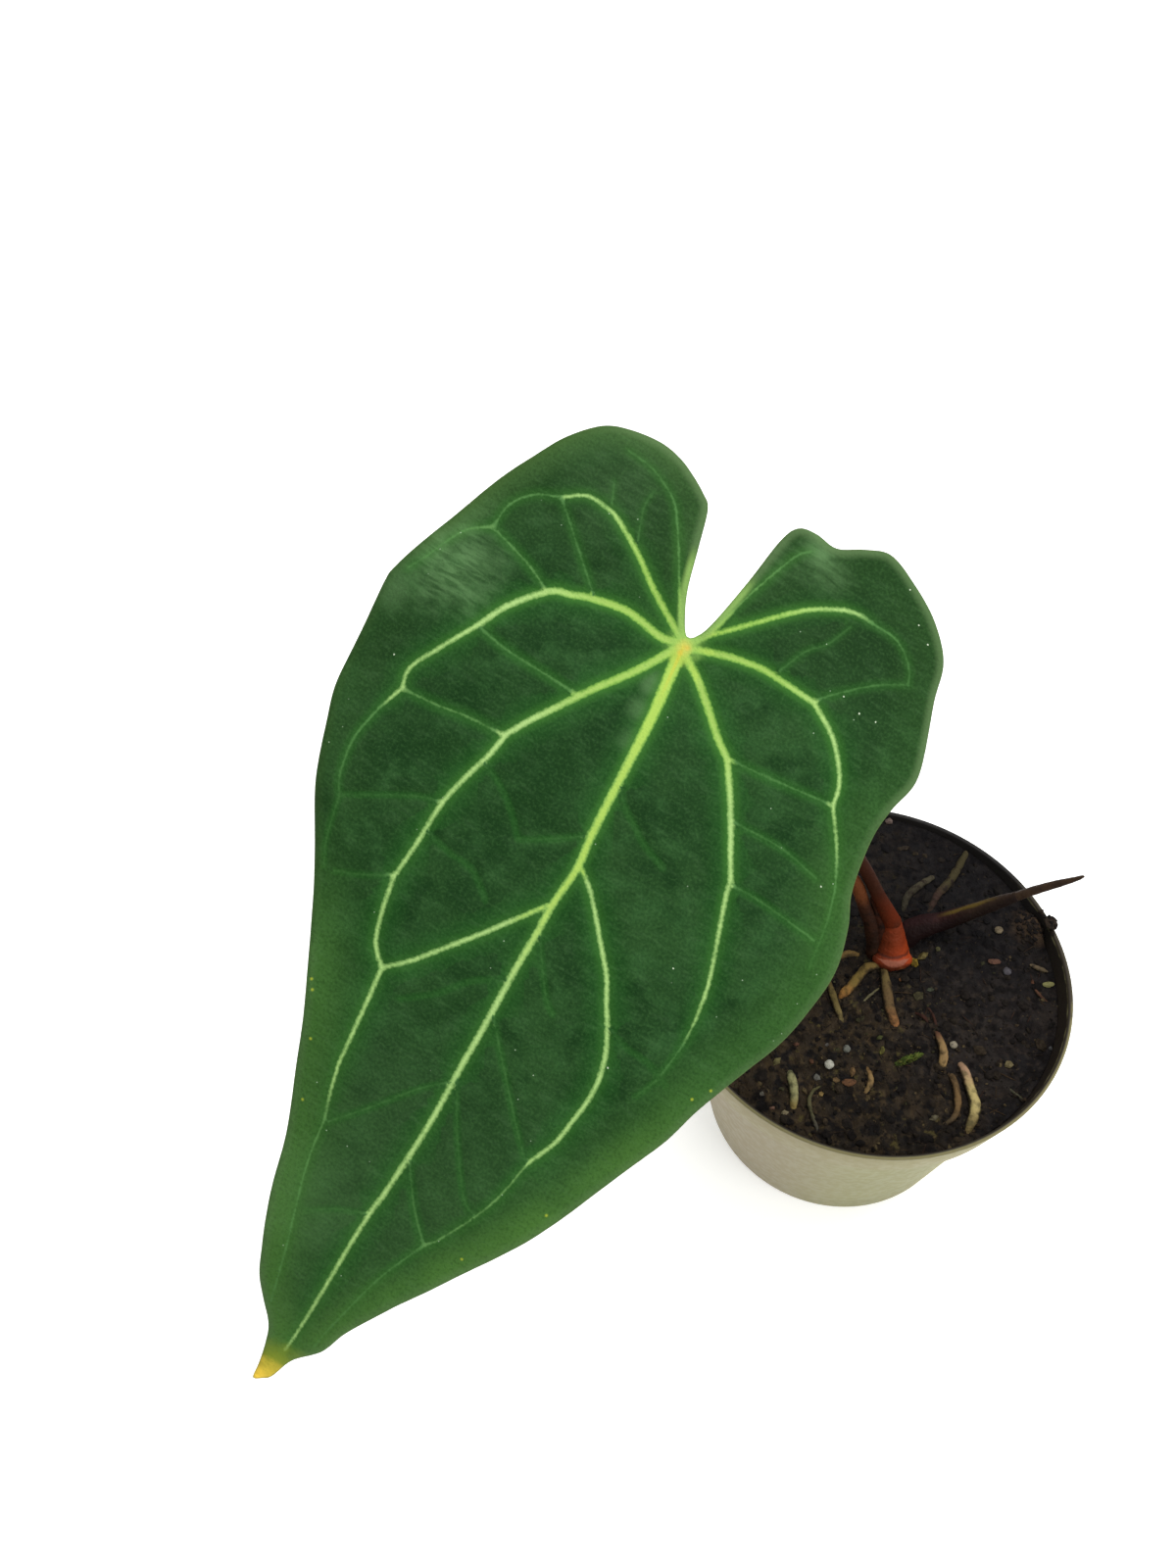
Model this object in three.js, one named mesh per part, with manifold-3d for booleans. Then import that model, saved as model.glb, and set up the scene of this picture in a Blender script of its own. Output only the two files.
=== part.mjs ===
import * as THREE from 'three';
import { mergeVertices } from 'three/addons/utils/BufferGeometryUtils.js';
import Module from 'manifold-3d';

// A young velvet-leaved anthurium in a cream plastic nursery pot. One large heart-shaped leaf
// hangs on a long stalk, a rolled new leaf points the other way, and thick roots run over the mix.
// Millimetres, +Z up. The origin is the middle of the pot's flat base, and the viewer stands
// towards -Y.

// Pot: a tapered thin wall with a deeper collar round the mouth and holes in the base
const POT_HEIGHT = 85;
const RIM_RADIUS = 60;
const BASE_RADIUS = 42.3;
const BASE_ROUNDING = 1.8;
const COLLAR_HEIGHT = 16;
const COLLAR_FOOT_RADIUS = 56.7;
const BODY_TOP_RADIUS = 54;
const WALL = 1.4;
const FLOOR_THICKNESS = 1.6;
const POT_SIDES = 60;
const DRAIN_HOLES = 8;
const DRAIN_RADIUS = 4;
const DRAIN_RING_RADIUS = 27;

// Growing mix: its level at the middle, its slope up to the back, how it is banked against the far
// wall, and its lumps
const SOIL_LEVEL = 79;
const SOIL_SLOPE = 0.045;
const SOIL_BANK = 1.8;
const SOIL_BANK_WIDTH = 6;
const SOIL_REACH = 57;
const SOIL_RINGS = 11;
const SOIL_LUMPS = 90;
const SOIL_SEED = 11;

// The gap that neighbouring pieces keep
const GAP = 0.3;

// Leaf: where its stalk joins, where its tip is, and which way its upper face looks
const LEAF_JOINT = new THREE.Vector3(-64.5, -7, 233.5);
const LEAF_TIP = new THREE.Vector3(-157.5, -127.5, 129.5);
const LEAF_FACING = new THREE.Vector3(-0.03, -0.64, 0.77);
const LEAF_LENGTH = LEAF_JOINT.distanceTo(LEAF_TIP);
const LEAF_THICKNESS = 0.8;
const LEAF_ARCH = 11;
const LEAF_DROOP = 6;
const LEAF_HALF_WIDTH = 57;
const LEAF_TWIST = 0.03;
const FUNNEL_DEPTH = 2.2;
const FUNNEL_RADIUS = 11;
const WAVE_HEIGHT = 1.2;
const WAVE_LENGTH = 41;
const WAVE_REACH = 12;
const LEAF_EDGE_STEP = 4.2;
const LEAF_FILL_STEP = 7;
const VEIN_STEP = 5.5;
const VEIN_GROOVE = 0.35;
const HUB_HEIGHT = 2.2;
const HUB_RADIUS = 3.5;

// The leaf's outline, from the bottom of the notch up the left lobe, down to the tip and back up
// the right side: x across, y towards the lobes, with the stalk's joint at 0, 0
const LEAF_OUTLINE = [
  [-0.5, 2.5], [-3, 6], [-5.5, 11.5], [-8, 20.5], [-10.5, 29], [-13, 31.5], [-17, 34],
  [-21.5, 36], [-27, 37], [-34.5, 36], [-40, 33.5], [-45, 27.5], [-49, 20], [-53.5, 11],
  [-58, -2.5], [-62, -15.5], [-62.5, -20], [-61.5, -31], [-60, -43.5], [-57, -52],
  [-52.5, -64], [-46.5, -74.5], [-40, -86], [-34, -97.5], [-29.5, -107], [-25, -119.5],
  [-20.5, -131.5], [-17.5, -142.5], [-13, -155.5], [-10.5, -162], [-7, -167],
  [-3.5, -171.5], [-2, -176], [-1, -181], [-0.5, -184.5], [1.5, -183.5], [3, -182],
  [5, -176.5], [9.5, -170.5], [12, -162.5], [16.5, -154], [23, -144.5], [29, -134.5],
  [35.5, -122.5], [42, -109], [48.5, -92.5], [51.5, -82.5], [56.5, -71], [60, -62],
  [62, -50.5], [62.5, -42], [60.5, -33.5], [57.5, -26.5], [55.5, -15], [56, -7.5],
  [58, 0], [57, 7], [53.5, 18], [51, 26.5], [44.5, 33.5], [36, 38.5], [29, 41],
  [23.5, 39], [18, 36], [12.5, 36.5], [8.5, 35.5], [6.5, 31], [5, 20], [3, 8.5], [1.5, 4],
];

// The raised veins: how high each stands out of the underside at its start, and its path
const LEAF_VEINS = [
  { rib: 1.6, path: [[0, 0], [2, -17.5], [3.5, -43], [3, -60], [4.5, -91.5], [4, -131], [3, -170.5]] },
  { rib: 1.1, path: [[0, 0], [-8, 6], [-16.5, 12], [-24.5, 16.5], [-32, 18.5], [-39, 15], [-48.5, 2]] },
  { rib: 1.2, path: [[0, 0], [-14, 1], [-26, -2], [-36.5, -11], [-45, -26], [-49.5, -44], [-46.5, -63.5]] },
  { rib: 1.2, path: [[0, 0], [-5, -7.5], [-17.5, -24.5], [-25, -45.5], [-27.5, -71.5], [-20.5, -89.5]] },
  { rib: 0.7, path: [[-20.5, -89.5], [-20, -97], [-18, -111.5], [-14.5, -123.5], [-8.5, -152.5]] },
  { rib: 0.8, path: [[2.5, -61], [-2.5, -67.5], [-10, -77.5], [-20.5, -89.5]] },
  { rib: 1.0, path: [[0, 0], [3.5, 5], [11, 13.5], [20, 21.5], [33, 26], [44.5, 21.5]] },
  { rib: 1.1, path: [[0, 0], [8.5, 3], [23.5, 4.5], [37.5, -0.5], [44.5, -13], [54, -28.5], [57, -45]] },
  { rib: 1.1, path: [[0, 0], [10, -7.5], [20, -15.5], [27.5, -27.5], [36, -46.5], [42, -70]] },
  { rib: 0.9, path: [[4.5, -50], [12, -57], [26.5, -76.5], [30, -96.5], [24, -121], [11.5, -149]] },
  { rib: 0.6, path: [[0, 0], [-8, 12], [-17.5, 27], [-32, 31.5]] },
];

// Leaf stalk, from inside the mix to under the leaf's joint: x, y, z and radius. The crown is its
// swollen foot, and the part above it is the stalk proper.
const STEM_PATH = [
  [8.8, 6.5, 56, 3.2],
  [8.6, 7.4, 70, 4.8],
  [8.3, 8.2, 79, 6],
  [7.7, 10.2, 86, 4.3],
  [6.9, 12, 92, 3],
  [1, 12.8, 105, 2.05],
  [-6.2, 13, 121, 1.9],
  [-34, 11.5, 174, 1.9],
  [-56, 4.5, 211, 1.9],
  [-63.2, 0.4, 224.5, 2.5],
];
const CROWN_SHARE = 0.19;
const HUB_CLEARANCE = 0.35;

// The crown's flared foot, with the leaf scar on its front: its middle, its half sizes
const SCAR_PLACE = [8.2, 5.6, 80.8];
const SCAR_SIZE = [6.2, 4.1, 3.2];

// The stump of an older stalk behind the big leaf
const OLD_STALK_PATH = [
  [3, 6.6, 70, 2.1],
  [2.9, 8.2, 80, 2.3],
  [1.1, 10.6, 90, 2.2],
  [-3.2, 12.4, 102, 1.95],
  [-6.3, 12.8, 111, 1.9],
  [-8.2, 12.6, 116, 1.2],
];

// New leaf: a sheath out of the crown's back, and the rolled blade that stands in it
const SHEATH_PATH = [
  [12.6, 11.8, 73, 3.4],
  [14.4, 14.2, 81.4, 3.9],
  [18.6, 15.2, 84.2, 3.6],
  [24, 15.5, 86.4, 3.1],
  [31.2, 15.4, 91.8, 2.7],
  [38, 14.9, 97.8, 2.3],
  [42.2, 14.3, 102, 2],
];
const NEW_LEAF_PATH = [
  [35.4, 15.1, 95.4, 1.1],
  [41, 14.5, 100.9, 1.4],
  [46.3, 13.5, 106.9, 1.35],
  [51.4, 12.4, 112.1, 1.15],
  [55.2, 11.3, 116.3, 0.8],
  [56.9, 10.7, 118.7, 0.35],
];

// Roots on the mix: x, y, height of the root's middle over the mix, radius
const ROOTS = {
  root_crown_left: [[4.4, 3.8, 0.6, 1.2], [2.6, 3.4, 1, 1.5], [0.1, 2.6, 1, 1.6], [-2.4, -0.2, 0.9, 1.7],
    [-5.4, -3.7, 0.6, 1.75], [-7.9, -6, 0.2, 1.5], [-9.1, -7.2, -3.4, 0.9]],
  root_crown_front: [[5.4, 2.4, 0.5, 1.2], [5.3, -1, 1, 1.6], [5.3, -4.5, 0.9, 1.85], [5.3, -8.6, 0.7, 1.85],
    [5.8, -12.4, 0.4, 1.9], [6.4, -15.6, -0.4, 1.7], [6.9, -17.8, -3.6, 1.1]],
  root_left: [[-9.6, 6, -2, 0.9], [-7, 6.9, 0.3, 1.2], [-4.4, 7.8, 0.5, 1.3], [-2, 7.8, -0.2, 1.1]],
  root_thin_left: [[-12, 1.6, -1.8, 0.8], [-11.5, -3.4, 0.45, 1.1], [-10.6, -8.5, 0.55, 1.2],
    [-9.6, -12.5, 0.3, 1.1], [-8.4, -16.2, -2.2, 0.8]],
  root_loop_pale: [[23.8, -27.4, -2, 1], [24.5, -30.2, 0.7, 1.5], [25.3, -33.6, 1, 1.6],
    [26, -37.4, 1, 1.7], [26.3, -41, 0.9, 1.9], [25.3, -44.4, 0.7, 1.8], [23.7, -47.2, 0.1, 1.4],
    [22.7, -49.6, -3, 0.9]],
  root_loop_brown: [[20.8, -30.6, -2, 0.9], [21.2, -33.2, 0.6, 1.2], [21.6, -36.4, 0.8, 1.3],
    [21.5, -39.8, 0.7, 1.3], [20.7, -42.8, 0.5, 1.1], [18.9, -45.1, 0.4, 0.85], [16.2, -45.8, -1.2, 0.7]],
  root_middle: [[18.4, -17.2, -1.6, 0.7], [18.6, -19, 0.5, 0.95], [19.1, -21.6, 0.8, 1.3],
    [19.3, -25, 0.8, 1.5], [18.7, -28.6, 0.2, 1.4], [18, -31.2, -2.8, 0.9]],
  root_thin_red: [[12.8, -11.2, -1.6, 0.6], [14.2, -12.7, 0.3, 0.7], [15.8, -14, 0.35, 0.7],
    [16.9, -15.3, -1.6, 0.6]],
  root_pale_left: [[-25.8, -29.2, -2.4, 1], [-25.7, -32, 0.6, 1.5], [-25.3, -35.6, 0.8, 1.6],
    [-25.4, -39, 0.5, 1.5], [-26.4, -42.2, -2, 1]],
};

// Twigs of bark on the mix, as the roots
const TWIGS = {
  twig_long: [[36.2, 42.6, 1.2, 0.9], [32.6, 36.8, 1, 1.3], [28.5, 31.5, 0.8, 1.3], [25, 27.6, 0.6, 1.2],
    [22, 23, -0.8, 0.9]],
  twig_short: [[24.6, 34.6, 0.4, 0.8], [21, 31.9, 0.8, 1.1], [17.8, 29.4, 0.8, 1.1], [15.6, 27, 0.5, 1.1],
    [14.2, 23.2, -1, 0.8]],
};

// Grains of white perlite: x, y and radius
const PERLITE = [
  [-14.4, -28.6, 1.6],
  [-8.7, -23.6, 1.3],
  [22.8, -22.5, 1.3],
  [42.8, 16.1, 1.5],
  [43.1, 2.1, 1.4],
];

// Flat bark chips: x, y, half length, half width, half thickness and turn in degrees
const CHIPS = [
  [54.8, -2.4, 2.2, 1.2, 0.8, 5],
  [53, 3.2, 3.2, 1.1, 0.8, -28],
  [39.7, 5.3, 2.4, 1.1, 0.8, -3],
  [-9.2, -33.8, 2.4, 1.4, 0.8, 5],
];

// A sprig of moss: its two ends along the mix
const MOSS_PATH = [[5, -28.2, 0, 0.6], [8.8, -26.8, 0.7, 1.2], [12.6, -25.5, 0.6, 0.5]];

// The crumb of mix that lies on the rim: its middle and its half sizes
const CRUMB_ANGLE = 14.5;
const CRUMB_SIZE = [2.4, 3, 1.7];

const wasm = await Module();
wasm.setup();

// The same draws every time, from 0 to 1
function randomDraws(seed) {
  let state = seed;
  return () => {
    state = (state * 16807) % 2147483647;
    return state / 2147483647;
  };
}

// A closed geometry as a solid that can be joined and cut
function solidOf(geometry) {
  const bare = geometry.clone();
  bare.deleteAttribute('normal');
  bare.deleteAttribute('uv');
  const merged = mergeVertices(bare, 1e-4);
  const index = merged.index.array;
  const triangles = [];
  for (let i = 0; i < index.length; i += 3) {
    const [a, b, c] = [index[i], index[i + 1], index[i + 2]];
    if (a !== b && b !== c && c !== a) triangles.push(a, b, c);
  }
  return new wasm.Manifold(new wasm.Mesh({
    numProp: 3,
    vertProperties: new Float32Array(merged.attributes.position.array),
    triVerts: new Uint32Array(triangles),
  }));
}

// A solid back as a geometry
function geometryOf(solid) {
  const mesh = solid.getMesh();
  const positions = new Float32Array(mesh.numVert * 3);
  for (let i = 0; i < mesh.numVert; i++) {
    for (let k = 0; k < 3; k++) positions[3 * i + k] = mesh.vertProperties[mesh.numProp * i + k];
  }
  const geometry = new THREE.BufferGeometry();
  geometry.setAttribute('position', new THREE.BufferAttribute(positions, 3));
  geometry.setIndex(new THREE.BufferAttribute(new Uint32Array(mesh.triVerts), 1));
  return geometry;
}

// A geometry from lists of corners and triangles
function geometryFrom(corners, triangles) {
  const geometry = new THREE.BufferGeometry();
  geometry.setAttribute('position', new THREE.Float32BufferAttribute(corners.flat(), 3));
  geometry.setIndex(triangles.flat());
  return geometry;
}

// A round profile about the Z axis, given as radius and height from the bottom up
function turned(profile, sides) {
  const points = profile.map(([radius, height]) => new THREE.Vector2(radius, height));
  const geometry = new THREE.LatheGeometry(points, sides);
  geometry.rotateX(Math.PI / 2);
  return geometry;
}

// A stalk with flat ends: x, y, z and radius along its path; grow makes it fatter and longer
function stalk(path, { sides = 8, steps = 10, from = 0, to = 1, grow = 0 } = {}) {
  const curve = new THREE.CatmullRomCurve3(path.map(([x, y, z]) => new THREE.Vector3(x, y, z)));
  const radii = new THREE.CatmullRomCurve3(path.map(([, , , radius]) => new THREE.Vector3(radius, 0, 0)));
  const stretch = new THREE.Curve();
  stretch.getPoint = (t, target = new THREE.Vector3()) => curve.getPointAt(from + (to - from) * t, target);
  const frames = stretch.computeFrenetFrames(steps, false);
  const corners = [];
  const triangles = [];
  const middles = [];
  for (let i = 0; i <= steps; i++) {
    const share = from + ((to - from) * i) / steps;
    const middle = curve.getPointAt(share);
    if (i === 0) middle.addScaledVector(frames.tangents[i], -grow);
    if (i === steps) middle.addScaledVector(frames.tangents[i], grow);
    const radius = radii.getPoint(curve.getUtoTmapping(share)).x + grow;
    middles.push(middle.toArray());
    for (let j = 0; j < sides; j++) {
      const angle = (2 * Math.PI * j) / sides;
      const corner = middle.clone();
      corner.addScaledVector(frames.normals[i], radius * Math.cos(angle));
      corner.addScaledVector(frames.binormals[i], radius * Math.sin(angle));
      corners.push(corner.toArray());
    }
  }
  const [first, last] = [corners.length, corners.length + 1];
  corners.push(middles[0], middles[steps]);
  for (let j = 0; j < sides; j++) {
    const next = (j + 1) % sides;
    for (let i = 0; i < steps; i++) {
      const [a, b] = [i * sides + j, i * sides + next];
      triangles.push([a, b, b + sides], [a, b + sides, a + sides]);
    }
    triangles.push([first, next, j], [last, steps * sides + j, steps * sides + next]);
  }
  return geometryFrom(corners, triangles);
}

// Pot

function bodyOuterRadius(z) {
  const share = (z - BASE_ROUNDING) / (POT_HEIGHT - COLLAR_HEIGHT - BASE_ROUNDING);
  return BASE_RADIUS + (BODY_TOP_RADIUS - BASE_RADIUS) * share;
}

function collarOuterRadius(z) {
  const share = (z - (POT_HEIGHT - COLLAR_HEIGHT)) / COLLAR_HEIGHT;
  return COLLAR_FOOT_RADIUS + (RIM_RADIUS - COLLAR_FOOT_RADIUS) * share;
}

// The pot's inside, which the mix fills
function innerRadius(z) {
  const shoulder = POT_HEIGHT - COLLAR_HEIGHT;
  if (z <= shoulder - WALL) return bodyOuterRadius(Math.max(z, BASE_ROUNDING)) - WALL;
  if (z >= shoulder) return collarOuterRadius(z) - WALL;
  const share = (z - (shoulder - WALL)) / WALL;
  const low = bodyOuterRadius(shoulder - WALL) - WALL;
  return low + (collarOuterRadius(shoulder) - WALL - low) * share;
}

function potGeometry() {
  const shoulder = POT_HEIGHT - COLLAR_HEIGHT;
  const lip = collarOuterRadius(POT_HEIGHT);
  const profile = [
    [0, 0],
    [BASE_RADIUS - BASE_ROUNDING, 0],
    [BASE_RADIUS - 0.3 * BASE_ROUNDING, 0.3 * BASE_ROUNDING],
    [BASE_RADIUS, BASE_ROUNDING],
    [bodyOuterRadius(shoulder), shoulder],
    [COLLAR_FOOT_RADIUS, shoulder],
    [lip, POT_HEIGHT - 0.5],
    [lip - 0.4, POT_HEIGHT],
    [lip - WALL + 0.3, POT_HEIGHT],
    [innerRadius(POT_HEIGHT - 0.5), POT_HEIGHT - 0.5],
    [innerRadius(shoulder), shoulder],
    [innerRadius(shoulder - WALL), shoulder - WALL],
    [innerRadius(FLOOR_THICKNESS + 2), FLOOR_THICKNESS + 2],
    [innerRadius(FLOOR_THICKNESS) - 2, FLOOR_THICKNESS],
    [0, FLOOR_THICKNESS],
  ];
  let pot = solidOf(turned(profile, POT_SIDES));
  for (let i = 0; i < DRAIN_HOLES; i++) {
    const angle = (2 * Math.PI * (i + 0.5)) / DRAIN_HOLES;
    const hole = new THREE.CylinderGeometry(DRAIN_RADIUS, DRAIN_RADIUS, 4 * FLOOR_THICKNESS, 12);
    hole.rotateX(Math.PI / 2);
    hole.translate(DRAIN_RING_RADIUS * Math.cos(angle), DRAIN_RING_RADIUS * Math.sin(angle), 0);
    pot = pot.subtract(solidOf(hole));
  }
  return geometryOf(pot);
}

// Growing mix

const draw = randomDraws(SOIL_SEED);
const lumps = Array.from({ length: SOIL_LUMPS }, () => {
  const angle = 2 * Math.PI * draw();
  const reach = 54 * Math.sqrt(draw());
  return {
    x: reach * Math.cos(angle),
    y: reach * Math.sin(angle),
    radius: 2.5 + 3.5 * draw(),
    height: -0.7 + 1.9 * draw(),
  };
});

function soilHeight(x, y) {
  const reach = Math.hypot(x, y);
  const toWall = (SOIL_REACH - reach) / SOIL_BANK_WIDTH;
  const bank = SOIL_BANK * Math.max(0, y / SOIL_REACH) * Math.exp(-(toWall ** 2));
  let z = SOIL_LEVEL + SOIL_SLOPE * y + bank;
  for (const lump of lumps) {
    const distance = (x - lump.x) ** 2 + (y - lump.y) ** 2;
    z += lump.height * Math.exp(-distance / (2 * lump.radius ** 2));
  }
  return z;
}

function soilGeometry() {
  const corners = [];
  const triangles = [];
  const sides = POT_SIDES;
  const addRing = (radiusAt, heightAt) => {
    for (let j = 0; j < sides; j++) {
      const angle = (2 * Math.PI * j) / sides;
      const radius = radiusAt(angle);
      const [x, y] = [radius * Math.cos(angle), radius * Math.sin(angle)];
      corners.push([x, y, heightAt(x, y)]);
    }
  };
  const shoulder = POT_HEIGHT - COLLAR_HEIGHT;
  const low = FLOOR_THICKNESS + GAP;
  const sideHeights = [low, low + 2, shoulder - WALL - GAP, shoulder];
  sideHeights.forEach((z, i) => {
    const inset = i === 0 ? 2 + GAP : GAP;
    addRing(() => innerRadius(z) - inset, () => z);
  });
  const edge = (angle) => {
    const level = soilHeight(SOIL_REACH * Math.cos(angle), SOIL_REACH * Math.sin(angle));
    return innerRadius(level) - GAP;
  };
  for (let ring = SOIL_RINGS; ring >= 1; ring--) {
    addRing((angle) => (edge(angle) * ring) / SOIL_RINGS, (x, y) => soilHeight(x, y));
  }
  const rings = sideHeights.length + SOIL_RINGS;
  for (let ring = 0; ring < rings - 1; ring++) {
    for (let j = 0; j < sides; j++) {
      const next = (j + 1) % sides;
      const [a, b] = [ring * sides + j, ring * sides + next];
      triangles.push([a, b, b + sides], [a, b + sides, a + sides]);
    }
  }
  const bottom = corners.length;
  corners.push([0, 0, low], [0, 0, soilHeight(0, 0)]);
  for (let j = 0; j < sides; j++) {
    const next = (j + 1) % sides;
    const top = (rings - 1) * sides;
    triangles.push([bottom, next, j], [bottom + 1, top + j, top + next]);
  }
  return geometryFrom(corners, triangles);
}

// Leaf

function leafHeight(x, y) {
  const along = -y / LEAF_LENGTH;
  const arch = 4 * LEAF_ARCH * along * (1 - along);
  const droop = LEAF_DROOP * (x / LEAF_HALF_WIDTH) ** 2;
  const funnel = FUNNEL_DEPTH * Math.exp(-(x * x + y * y) / (2 * FUNNEL_RADIUS ** 2));
  return arch - droop - funnel + LEAF_TWIST * x * along;
}

function distanceToLine(x, y, line) {
  let best = Infinity;
  for (let i = 0; i < line.length; i++) {
    const [a, b] = [line[i], line[(i + 1) % line.length]];
    const [dx, dy] = [b.x - a.x, b.y - a.y];
    const length = dx * dx + dy * dy || 1;
    const share = Math.min(1, Math.max(0, ((x - a.x) * dx + (y - a.y) * dy) / length));
    best = Math.min(best, Math.hypot(x - a.x - share * dx, y - a.y - share * dy));
  }
  return best;
}

function isInside(x, y, outline) {
  let inside = false;
  for (let i = 0, j = outline.length - 1; i < outline.length; j = i++) {
    const [a, b] = [outline[i], outline[j]];
    if (a.y > y !== b.y > y && x < ((b.x - a.x) * (y - a.y)) / (b.y - a.y) + a.x) inside = !inside;
  }
  return inside;
}

// A soft wave along the margin, which fades towards the middle of the blade
function marginWave(x, y, toEdge) {
  const wave = Math.sin((2 * Math.PI * (y + 0.3 * x)) / WAVE_LENGTH);
  return WAVE_HEIGHT * wave * Math.exp(-toEdge / WAVE_REACH);
}

function spacedPoints(points, step, closed) {
  const curve = new THREE.CatmullRomCurve3(points.map(([x, y]) => new THREE.Vector3(x, y, 0)), closed);
  const count = Math.max(2, Math.round(curve.getLength() / step));
  const spaced = curve.getSpacedPoints(count);
  if (closed) spaced.pop();
  return spaced;
}

// The leaf's flat net of points: the outline, both sides and the middle of each vein, and a fill
function leafPoints() {
  const outline = spacedPoints(LEAF_OUTLINE, LEAF_EDGE_STEP, true);
  const points = outline.map(({ x, y }) => ({ x, y, rib: 0, toEdge: 0 }));
  const add = (x, y, rib, clear) => {
    if (!isInside(x, y, outline)) return;
    const toEdge = distanceToLine(x, y, outline);
    if (toEdge < Math.min(clear, 2.2)) return;
    if (points.some((p) => Math.hypot(p.x - x, p.y - y) < clear)) return;
    points.push({ x, y, rib, toEdge });
  };
  for (const vein of LEAF_VEINS) {
    const path = spacedPoints(vein.path, VEIN_STEP, false);
    path.forEach(({ x, y }, i) => add(x, y, vein.rib * (1 - (0.6 * i) / path.length), 1.5));
  }
  for (const vein of LEAF_VEINS) {
    const path = spacedPoints(vein.path, VEIN_STEP, false);
    for (let i = 1; i < path.length; i++) {
      const [a, b] = [path[i - 1], path[i]];
      const length = a.distanceTo(b);
      const [nx, ny] = [-(b.y - a.y) / length, (b.x - a.x) / length];
      for (const side of [-2, 2]) add((a.x + b.x) / 2 + side * nx, (a.y + b.y) / 2 + side * ny, 0, 1.8);
    }
  }
  const row = LEAF_FILL_STEP * Math.sqrt(0.75);
  for (let j = -27; j <= 7; j++) {
    for (let i = -10; i <= 10; i++) {
      add((i + (j % 2) / 2) * LEAF_FILL_STEP, j * row, 0, 0.62 * LEAF_FILL_STEP);
    }
  }
  return { points, outline };
}

// Joins flat points into triangles whose circles hold no other point
function triangulate(points) {
  const big = 1e4;
  const all = [...points, { x: -big, y: -big }, { x: big, y: -big }, { x: 0, y: big }];
  const count = points.length;
  const circle = (a, b, c) => {
    const [pa, pb, pc] = [all[a], all[b], all[c]];
    const [bx, by, cx, cy] = [pb.x - pa.x, pb.y - pa.y, pc.x - pa.x, pc.y - pa.y];
    const d = 2 * (bx * cy - by * cx);
    const ux = (cy * (bx * bx + by * by) - by * (cx * cx + cy * cy)) / d;
    const uy = (bx * (cx * cx + cy * cy) - cx * (bx * bx + by * by)) / d;
    return { corners: [a, b, c], x: pa.x + ux, y: pa.y + uy, reach: ux * ux + uy * uy };
  };
  let triangles = [circle(count, count + 1, count + 2)];
  for (let i = 0; i < count; i++) {
    const { x, y } = all[i];
    const kept = [];
    const edges = new Map();
    for (const triangle of triangles) {
      if ((x - triangle.x) ** 2 + (y - triangle.y) ** 2 > triangle.reach) {
        kept.push(triangle);
        continue;
      }
      const [a, b, c] = triangle.corners;
      for (const [from, to] of [[a, b], [b, c], [c, a]]) {
        if (edges.has(`${to},${from}`)) edges.delete(`${to},${from}`);
        else edges.set(`${from},${to}`, [from, to]);
      }
    }
    for (const [from, to] of edges.values()) kept.push(circle(from, to, i));
    triangles = kept;
  }
  return triangles.map((triangle) => triangle.corners).filter((corners) => Math.max(...corners) < count);
}

function leafGeometry() {
  const { points, outline } = leafPoints();
  const faces = triangulate(points).filter((corners) => {
    const [a, b, c] = corners.map((i) => points[i]);
    return isInside((a.x + b.x + c.x) / 3, (a.y + b.y + c.y) / 3, outline);
  });
  const upper = [];
  const lower = [];
  for (const { x, y, rib, toEdge } of points) {
    const hub = HUB_HEIGHT * Math.exp(-(x * x + y * y) / (2 * HUB_RADIUS ** 2));
    const z = leafHeight(x, y) + marginWave(x, y, toEdge) - (rib > 0 ? VEIN_GROOVE : 0);
    upper.push([x, y, z]);
    lower.push([x, y, z - LEAF_THICKNESS - rib - hub]);
  }
  const count = points.length;
  const triangles = [];
  const open = new Map();
  for (const [a, b, c] of faces) {
    triangles.push([a, b, c], [a + count, c + count, b + count]);
    for (const [from, to] of [[a, b], [b, c], [c, a]]) {
      if (open.has(`${to},${from}`)) open.delete(`${to},${from}`);
      else open.set(`${from},${to}`, [from, to]);
    }
  }
  for (const [from, to] of open.values()) {
    triangles.push([from, from + count, to + count], [from, to + count, to]);
  }
  return geometryFrom([...upper, ...lower], triangles);
}

function leafFrame() {
  const along = LEAF_JOINT.clone().sub(LEAF_TIP).normalize();
  const across = along.clone().cross(LEAF_FACING).normalize();
  const up = across.clone().cross(along);
  return new THREE.Matrix4().makeBasis(across, along, up).setPosition(LEAF_JOINT);
}

// Stalks and roots

// The stem's path, ended square under the leaf's joint
function stemPath() {
  const under = VEIN_GROOVE + LEAF_THICKNESS + LEAF_VEINS[0].rib + HUB_HEIGHT + HUB_CLEARANCE;
  const depth = leafHeight(0, 0) - under;
  const end = new THREE.Vector3(0, 0, depth).applyMatrix4(leafFrame());
  const before = new THREE.Vector3(0.4, 0.4, depth - 4).applyMatrix4(leafFrame());
  return [...STEM_PATH, [...before.toArray(), 2.8], [...end.toArray(), 2.5]];
}

function crownGeometry(grow = 0) {
  const foot = solidOf(stalk(stemPath(), { sides: 14, steps: 12, to: CROWN_SHARE, grow }));
  const scar = new THREE.SphereGeometry(1, 14, 8);
  scar.scale(...SCAR_SIZE.map((size) => size + grow));
  scar.rotateX(THREE.MathUtils.degToRad(-25));
  scar.translate(...SCAR_PLACE);
  return geometryOf(foot.add(solidOf(scar)));
}

// A path over the mix: heights over its surface become real heights
function overSoil(path) {
  return path.map(([x, y, lift, radius]) => [x, y, soilHeight(x, y) + lift, radius]);
}

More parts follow.
